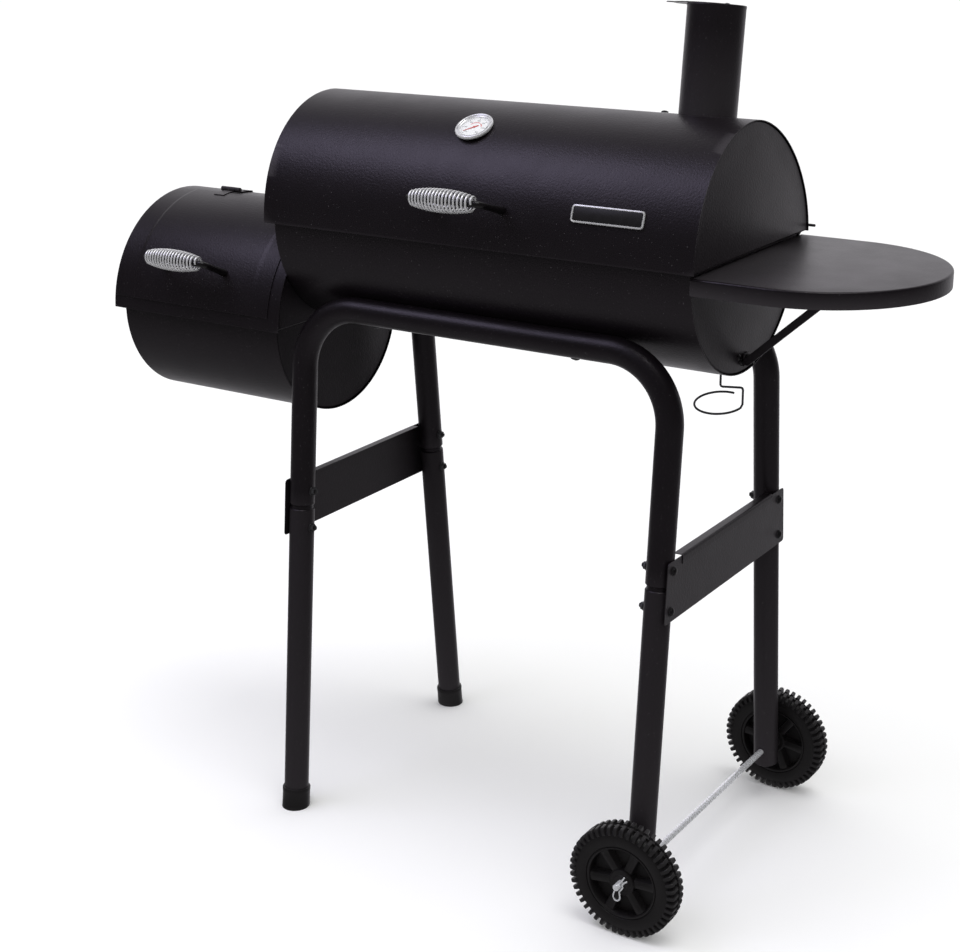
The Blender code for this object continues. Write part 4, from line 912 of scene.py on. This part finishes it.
def build_leg(label, side_x, side_y, joint):
    place = leg_place(side_x, side_y)
    start = 0.0580 * sqrt(1 + LEG_SPLAY ** 2) if side_x > 0 else 0.0085
    inner = TUBE_R - 0.0014
    profile = [(inner, start + 0.0006), (TUBE_R - 0.0005, start), (TUBE_R, start + 0.0006),
               (TUBE_R, joint - 0.0024), (TUBE_R - 0.0006, joint - 0.0012), (TUBE_R - 0.0022, joint - 0.0004),
               (TUBE_R - 0.0026, joint + 0.0450), (inner - 0.0030, joint + 0.0450), (inner - 0.0030, joint),
               (inner, joint - 0.014)]
    Solid().lathe(profile, 48, place, loop=True).done("tube_" + label, PAINT, "cart", "leg_" + label)
    for level, height in BOLT_LEVELS:
        node = "bolt_" + label + "_" + level
        x = MID_X + side_x * (LEG_X + TUBE_R + GAP + SHEET + GAP)
        spot = place_at((x, side_y * leg_y(height), height), (side_x, 0, 0), (0, 1, 0))
        bolt = Solid()
        washer = [(0.0066, -0.0001), (0.0068, 0.0004), (0.0062, 0.0009)]
        bolt.lathe(washer + dome(0.0058, 0.0036, 0.0006), 28, spot)
        back = spot @ moved(0, 0, -2 * TUBE_R - SHEET - 3 * GAP) @ turned(pi, "X")
        bolt.lathe([(0.0072, -0.0008), (0.0074, 0.0001), (0.0070, 0.0008), (0.003, 0.0008)], 28, back)
        hex_nut(bolt, back @ turned(0.3 * side_y + height), 0.0060, 0.0052, 0.0030, 0.0026)
        bolt.done(node + "_set", BOLT, "cart", node)


def build_braces():
    for end, side_x in ENDS:
        low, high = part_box("brace_" + end)
        inside = MID_X + side_x * (LEG_X + TUBE_R + GAP)
        ends = [leg_y(z) + TUBE_R * 0.9 for z in (low.z, high.z)]
        outline = rounded([(-ends[0], low.z), (ends[0], low.z), (ends[1], high.z), (-ends[1], high.z)],
                          0.006, 6, closed=True)
        plate = Solid().prism(outline, 0.0, SHEET, section_at(inside, side_x))
        short = leg_y(high.z) - TUBE_R - 0.004
        turn = Matrix(((0, -side_x, 0, inside), (1, 0, 0, 0), (0, 0, 1, 0), (0, 0, 0, 1)))
        line = [(-SHEET * 0.98, high.z - 0.012), (-SHEET * 0.98, high.z - 0.0001), (0.0120, high.z - 0.0001)]
        line = rounded(line, 0.003, 6)
        plate.sheet(line, [-short, -short + 0.004, short - 0.004, short], SHEET * 0.96, turn)
        plate.done("cross_brace_" + end, PAINT, "cart", "brace_" + end, bevel=0.0003)


# ---- axle, wheels and clips ----
def build_wheels():
    axis = place_at((AXLE_X, 0, AXLE_Z), (0, 1, 0))
    reach = AXLE_HIGH.y
    radius = (AXLE_HIGH.x - AXLE_LOW.x) / 2
    profile = [(0.0, -reach)]
    for angle in (pi / 12 * k for k in range(3, 7)):
        profile.append((radius * sin(angle), 0.0012 * (1 - cos(angle)) - reach))
    profile += [(r, -z) for r, z in reversed(profile)]
    Solid().lathe(profile, 40, axis).done("axle_rod", BRIGHT, "cart", "axle")
    for depth, side_y in DEPTHS:
        low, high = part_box("wheel_" + depth)
        face = high.y if side_y > 0 else low.y
        place = place_at((AXLE_X, face, AXLE_Z), (0, side_y, 0))
        build_wheel("wheel_" + depth, place, (high.z - low.z) / 2, high.y - low.y)
        build_clip("wheel_clip_" + depth)


def build_wheel(node, place, radius, width):
    """A moulded wheel seen from its outer face; depths are measured inwards from that face."""
    bed = radius - 0.0056
    half = [(0.0051, 0.0034), (0.0060, 0.0024), (0.0112, 0.0024), (0.0120, 0.0032), (0.0176, 0.0032),
            (0.0192, 0.0044), (0.0198, 0.0165), (0.0488, 0.0165), (0.0496, 0.0052), (0.0504, 0.0030),
            (0.0518, 0.0020), (0.0530, 0.0022), (0.0535, 0.0034), (0.0545, 0.0034), (0.0552, 0.0020),
            (0.0580, 0.0013), (0.0640, 0.0010), (0.0700, 0.0014), (0.0722, 0.0024), (0.0748, 0.0050),
            (bed, 0.0085), (bed, 0.0155), (bed + 0.0024, 0.0160), (bed + 0.0026, width / 2)]
    profile = [(r, -w) for r, w in half] + [(r, w - width) for r, w in reversed(half[:-1])]
    wheel = Solid().lathe(profile, 144, place, loop=True)
    lugs, spokes = 48, 6
    for mirror in (False, True):
        for k in range(lugs):
            turn = turned(2 * pi * (k + (0.5 if mirror else 0.0)) / lugs)
            wheel.skin(tread_block(radius, bed, width, mirror), place @ turn)
    for mirror in (False, True):
        for k in range(spokes):
            turn = turned(2 * pi * k / spokes + 0.11)
            wheel.skin(spoke(width, mirror), place @ turn)
    wheel.done(node + "_tyre", PLASTIC, node, node, sharp=32)


def tread_block(radius, bed, width, mirror):
    """Rows of one slanted block, from the side wall over the shoulder to the middle of the tread."""
    tops = [(0.0708, 0.0016), (0.0726, 0.0006), (0.0762, 0.0008), (0.0800, 0.0018), (radius - 0.0004, 0.0038),
            (radius, 0.0070), (radius, 0.0152)]
    beds = [(0.0704, 0.0040), (0.0715, 0.0050), (0.0725, 0.0060), (0.0740, 0.0075), (bed - 0.001, 0.0095),
            (bed - 0.001, 0.0110), (bed - 0.001, 0.0152)]
    rows = []
    for (r, w), (r_bed, w_bed) in zip(tops, beds):
        wide = 0.0023 + 0.0004 * (r - 0.0704) / 0.012
        skew = 0.0012 * (w - 0.0016) / 0.0136 * (-1 if mirror else 1)
        top = Vector((r, skew, (w - width) if mirror else -w))
        bottom = Vector((r_bed, skew, (w_bed - width) if mirror else -w_bed))
        shoulder = top + (bottom - top).normalized() * 0.0006
        half = [(top, wide - 0.0007), (shoulder, wide), (bottom, wide * 1.25)]
        rows.append([top - Vector((0, wide - 0.0007, 0))]
                    + [spot + Vector((0, out, 0)) for spot, out in half]
                    + [spot - Vector((0, out, 0)) for spot, out in half[:0:-1]])
    return rows


def spoke(width, mirror):
    """Rows of one round-backed spoke, from the hub to the rim."""
    rows = []
    for i in range(9):
        t = i / 8
        along = 0.0180 + 0.0318 * t
        wide = 0.0060 + 0.0010 * t * t
        crest = 0.0060 - 0.0012 * t
        half = [(0.5, crest + 0.0002), (0.92, crest + 0.0012), (1.08, crest + 0.0040), (1.25, 0.0172)]
        section = [(-u, level) for u, level in reversed(half)] + [(0.0, crest)] + half
        rows.append([Vector((along, u * wide, (level - width) if mirror else -level))
                     for u, level in section])
    return rows


def build_clip(node):
    """A spring clip: a straight leg through the axle, a loop below it and a wavy leg that hugs it."""
    y = span_of(node)[0].y
    points = [(0.0105, 0.0167), (0.0050, 0.0079), (0.0, 0.0), (-0.0032, -0.0051), (-0.0064, -0.0135),
              (-0.0066, -0.0193), (-0.0034, -0.0228), (0.0010, -0.0226), (0.0040, -0.0184), (0.0036, -0.0124),
              (0.0022, -0.0080), (0.0056, -0.0040), (0.0082, 0.0), (0.0070, 0.0040), (0.0100, 0.0080),
              (0.0145, 0.0115)]
    path = rounded([Vector((AXLE_X + x, y, AXLE_Z + z)) for x, z in points], 0.0026, 5, sharp=5)
    Solid().tube(path, 0.00118, 14).done(node + "_wire", BRIGHT, "cart", node)


# ---- shelf, strut, hook and grates ----
def build_shelf():
    low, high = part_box("side_shelf")
    half = high.y
    centre = high.x - half
    outline = [(low.x, -half)] + arc((centre, 0), half, -pi / 2, pi / 2, 80) + [(low.x, half)]
    outline = rounded(outline, 0.004, closed=True, sharp=40)
    place = moved(0, 0, high.z)
    shelf = Solid().pan(outline, high.z - low.z, SHEET, 0.0034, place, steps=7)
    shelf.done("shelf_top", PAINT, "cart", "side_shelf")


def build_strut():
    """A flat bar standing on edge, with a tab bent over at each end."""
    low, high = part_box("shelf_strut")
    face, under = low.x, high.z
    foot = low.z + 0.0020
    run, rise = 0.745, 0.667
    wide = 0.0110
    heel = face + 0.0082
    low_x = heel + (under - 0.0050 - foot) * run / rise
    start = (heel - wide * rise, foot + wide * run)
    high_x = start[0] + (under - start[1]) * run / rise
    outline = [(face, foot), (heel, foot), (low_x, under - 0.0050), (low_x, under), (high_x, under),
               (face, start[1] - (start[0] - face) * rise / run)]
    turn = Matrix(((1, 0, 0, 0), (0, 0, -1, 0), (0, 1, 0, 0), (0, 0, 0, 1)))
    strut = Solid().prism(rounded(outline, 0.0020, 4, closed=True, sharp=30), -0.0015, 0.0015, turn)
    for x0, x1, z0, z1 in ((face, face + 0.0025, foot - 0.002, foot + 0.016),
                           (high_x, low_x + 0.004, under - 0.0025, under)):
        strut.prism(rectangle(x0, x1, z0, z1), -high.y, 0.0008, turn)
    strut.done("shelf_bracket", PAINT, "cart", "shelf_strut", bevel=0.0006)
    fasteners = Solid()
    for height, out in ((foot + 0.0030, 0.0115), (foot + 0.0105, 0.0065)):
        spot = place_at((face + 0.0026, out, height), (1, 0, 0), (0, 1, 0))
        hex_nut(fasteners, spot, 0.0046, 0.0040, 0.0026, 0.0045)
    for out, height in ((-0.0075, foot + 0.0060), (-0.0150, foot + 0.0140)):
        spot = place_at((face - 0.0001, out, height), (1, 0, 0), (0, 1, 0))
        fasteners.lathe(dome(0.0044, 0.0028, 0.0), 24, spot)
    fasteners.done("bracket_nuts", BOLT, "cart")


def build_hook():
    bottom = TROUGH_LOW.z
    ring_r = 0.0350
    ring_z = bottom - 0.0480
    tilt = radians(11.0)
    centre = Vector((HOOK_X - 0.0005, 0.0, ring_z))
    hanger = [(-0.006, 0.0040), (0.0, 0.0042), (0.0, -0.0246), (0.0345, -0.0212),
              (0.0345, ring_z + 0.003 - bottom)]
    path = rounded([(HOOK_X + x, 0.0, bottom + z) for x, z in hanger], 0.0042, 6)
    for i in range(49):
        angle = radians(-8.0 - 272.0 * i / 48)
        y = ring_r * sin(angle)
        path.append(centre + Vector((ring_r * cos(angle), y * cos(tilt), y * sin(tilt))))
    Solid().tube(path, 0.0016, 14).done("grease_hook_wire", WIRE, "cart", "grease_cup_hook")
    place = place_at((HOOK_X - 0.0110, 0.0, bottom - 0.0002), (0, 0, -1))
    stud = [(0.0022, -0.001)] + [(0.0022, 0.0002 + 0.0004 * k) for k in range(12)] + [(0.0014, 0.0056)]
    Solid().lathe(stud, 18, place).done("grease_hook_stud", BOLT, "cart")


def build_grate(node, spacing, rods):
    """Bars of a radius called rods across four cross bars."""
    low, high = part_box(node)
    z = high.z - rods
    grate = Solid()
    run = high.x - low.x - 2 * rods
    count = round(run / spacing)
    for i in range(count + 1):
        x = low.x + rods + run * i / count
        grate.tube([(x, low.y + 0.001, z), (x, 0, z), (x, high.y - 0.001, z)], rods, 10)
    for y in (low.y * 0.62, high.y * 0.62, low.y + rods, high.y - rods):
        grate.tube([(low.x, y, z - rods * 0.1), (high.x, y, z - rods * 0.1)], rods * 1.05, 10)
    grate.done(node + "_rods", ENAMEL, "cart", node)


# ---- stage ----
def build_stage():
    size = 60.0
    mesh = bpy.data.meshes.new("floor")
    corners = [(-size, -size, 0), (size, -size, 0), (size, size, 0), (-size, size, 0)]
    mesh.from_pydata(corners, [], [(0, 1, 2, 3)])
    pale, shader = new_material("floor_pale")
    shader.inputs["Base Color"].default_value = (0.93, 0.93, 0.93, 1)
    shader.inputs["Roughness"].default_value = 0.9
    shader.inputs["Specular IOR Level"].default_value = 0.1
    mesh.materials.append(pale)
    floor = add_object("floor", mesh)
    floor.visible_glossy = False
    floor.visible_diffuse = False


def build_lights():
    """A cool softbox for the sheen along the barrel, and a broad light from overhead."""
    softbox = bpy.data.lights.new("softbox", "AREA")
    softbox.shape = "RECTANGLE"
    softbox.size = softbox.size_y = 1.4
    softbox.energy = 17.0
    softbox.color = (0.78, 0.75, 1.0)
    light = add_object("softbox", softbox)
    light.location = Vector((-1.25, -1.10, 2.95))
    light.rotation_mode = "QUATERNION"
    light.rotation_quaternion = (Vector((0.0, -0.05, 0.95)) - light.location).to_track_quat("-Z", "Y")
    overhead = bpy.data.lights.new("overhead", "SUN")
    overhead.energy = 0.80
    overhead.angle = radians(30)
    overhead.specular_factor = 0.15
    add_object("overhead", overhead).rotation_euler = (radians(3), radians(10), 0)


def build_world():
    """White to the eye and for soft light; for gloss, a bright backdrop low behind and dim elsewhere."""
    world = bpy.data.worlds.new("studio")
    bpy.context.scene.world = world
    world.use_nodes = True
    tree = world.node_tree
    tree.nodes.clear()
    where = add_node(tree, "ShaderNodeTexCoord").outputs["Generated"]
    backdrop = {1: Vector((-0.45, 0.88, 0.12)).normalized()}
    facing = add_node(tree, "ShaderNodeVectorMath", backdrop, {0: where}, operation="DOT_PRODUCT")
    height = add_node(tree, "ShaderNodeSeparateXYZ", links={0: where})
    back = span(tree, facing.outputs["Value"], 0.40, 0.98, 0.02, 0.97)
    below = span(tree, height.outputs["Z"], -0.85, 0.0, 0.25, 0.03)
    total = add_node(tree, "ShaderNodeMath", links={0: back, 1: below}, operation="ADD").outputs[0]
    white = (1, 1, 1, 1)
    soft = add_node(tree, "ShaderNodeBackground", {"Color": white, "Strength": 0.90})
    seen = add_node(tree, "ShaderNodeBackground", {"Color": white, "Strength": 1.05})
    dim = add_node(tree, "ShaderNodeBackground", {"Color": (0.98, 0.96, 1.0, 1)}, {"Strength": total})
    ray = add_node(tree, "ShaderNodeLightPath").outputs
    look = soft
    for kind, other in (("Is Glossy Ray", dim), ("Is Camera Ray", seen)):
        links = {0: ray[kind], 1: look.outputs[0], 2: other.outputs[0]}
        look = add_node(tree, "ShaderNodeMixShader", links=links)
    add_node(tree, "ShaderNodeOutputWorld", links={"Surface": look.outputs[0]})


def build_camera():
    data = bpy.data.cameras.new("camera")
    data.sensor_width = 36.0
    data.lens = 66.525
    data.shift_x = -0.0369
    data.shift_y = -0.0409
    data.clip_end = 200.0
    camera = add_object("camera", data)
    yaw, pitch, roll = (radians(a) for a in (32.3675, 17.4906, 0.1198))
    forward = Vector((-sin(yaw) * cos(pitch), cos(yaw) * cos(pitch), -sin(pitch)))
    right = Vector((cos(yaw), sin(yaw), 0))
    down = forward.cross(right)
    right_rolled = right * cos(roll) + down * sin(roll)
    down_rolled = down * cos(roll) - right * sin(roll)
    matrix = Matrix((right_rolled, -down_rolled, -forward)).transposed().to_4x4()
    matrix.translation = Vector((1.3643, -2.1526, 1.4031))
    camera.matrix_world = matrix
    bpy.context.scene.camera = camera


def main():
    build_lid()
    build_trough()
    build_firebox()
    build_door()
    build_grips()
    build_hinges()
    build_chimney()
    build_thermometer()
    build_badge()
    build_stand()
    build_feet()
    build_braces()
    build_wheels()
    build_shelf()
    build_strut()
    build_hook()
    for end in ("left", "right"):
        build_grate("cooking_grate_" + end, 0.0125, 0.0019)
    for place in ("charcoal", "firebox"):
        build_grate(place + "_grate", 0.0200, 0.0020)
    build_stage()
    build_world()
    build_lights()
    build_camera()
    bpy.context.scene.view_settings.view_transform = "Standard"


main()
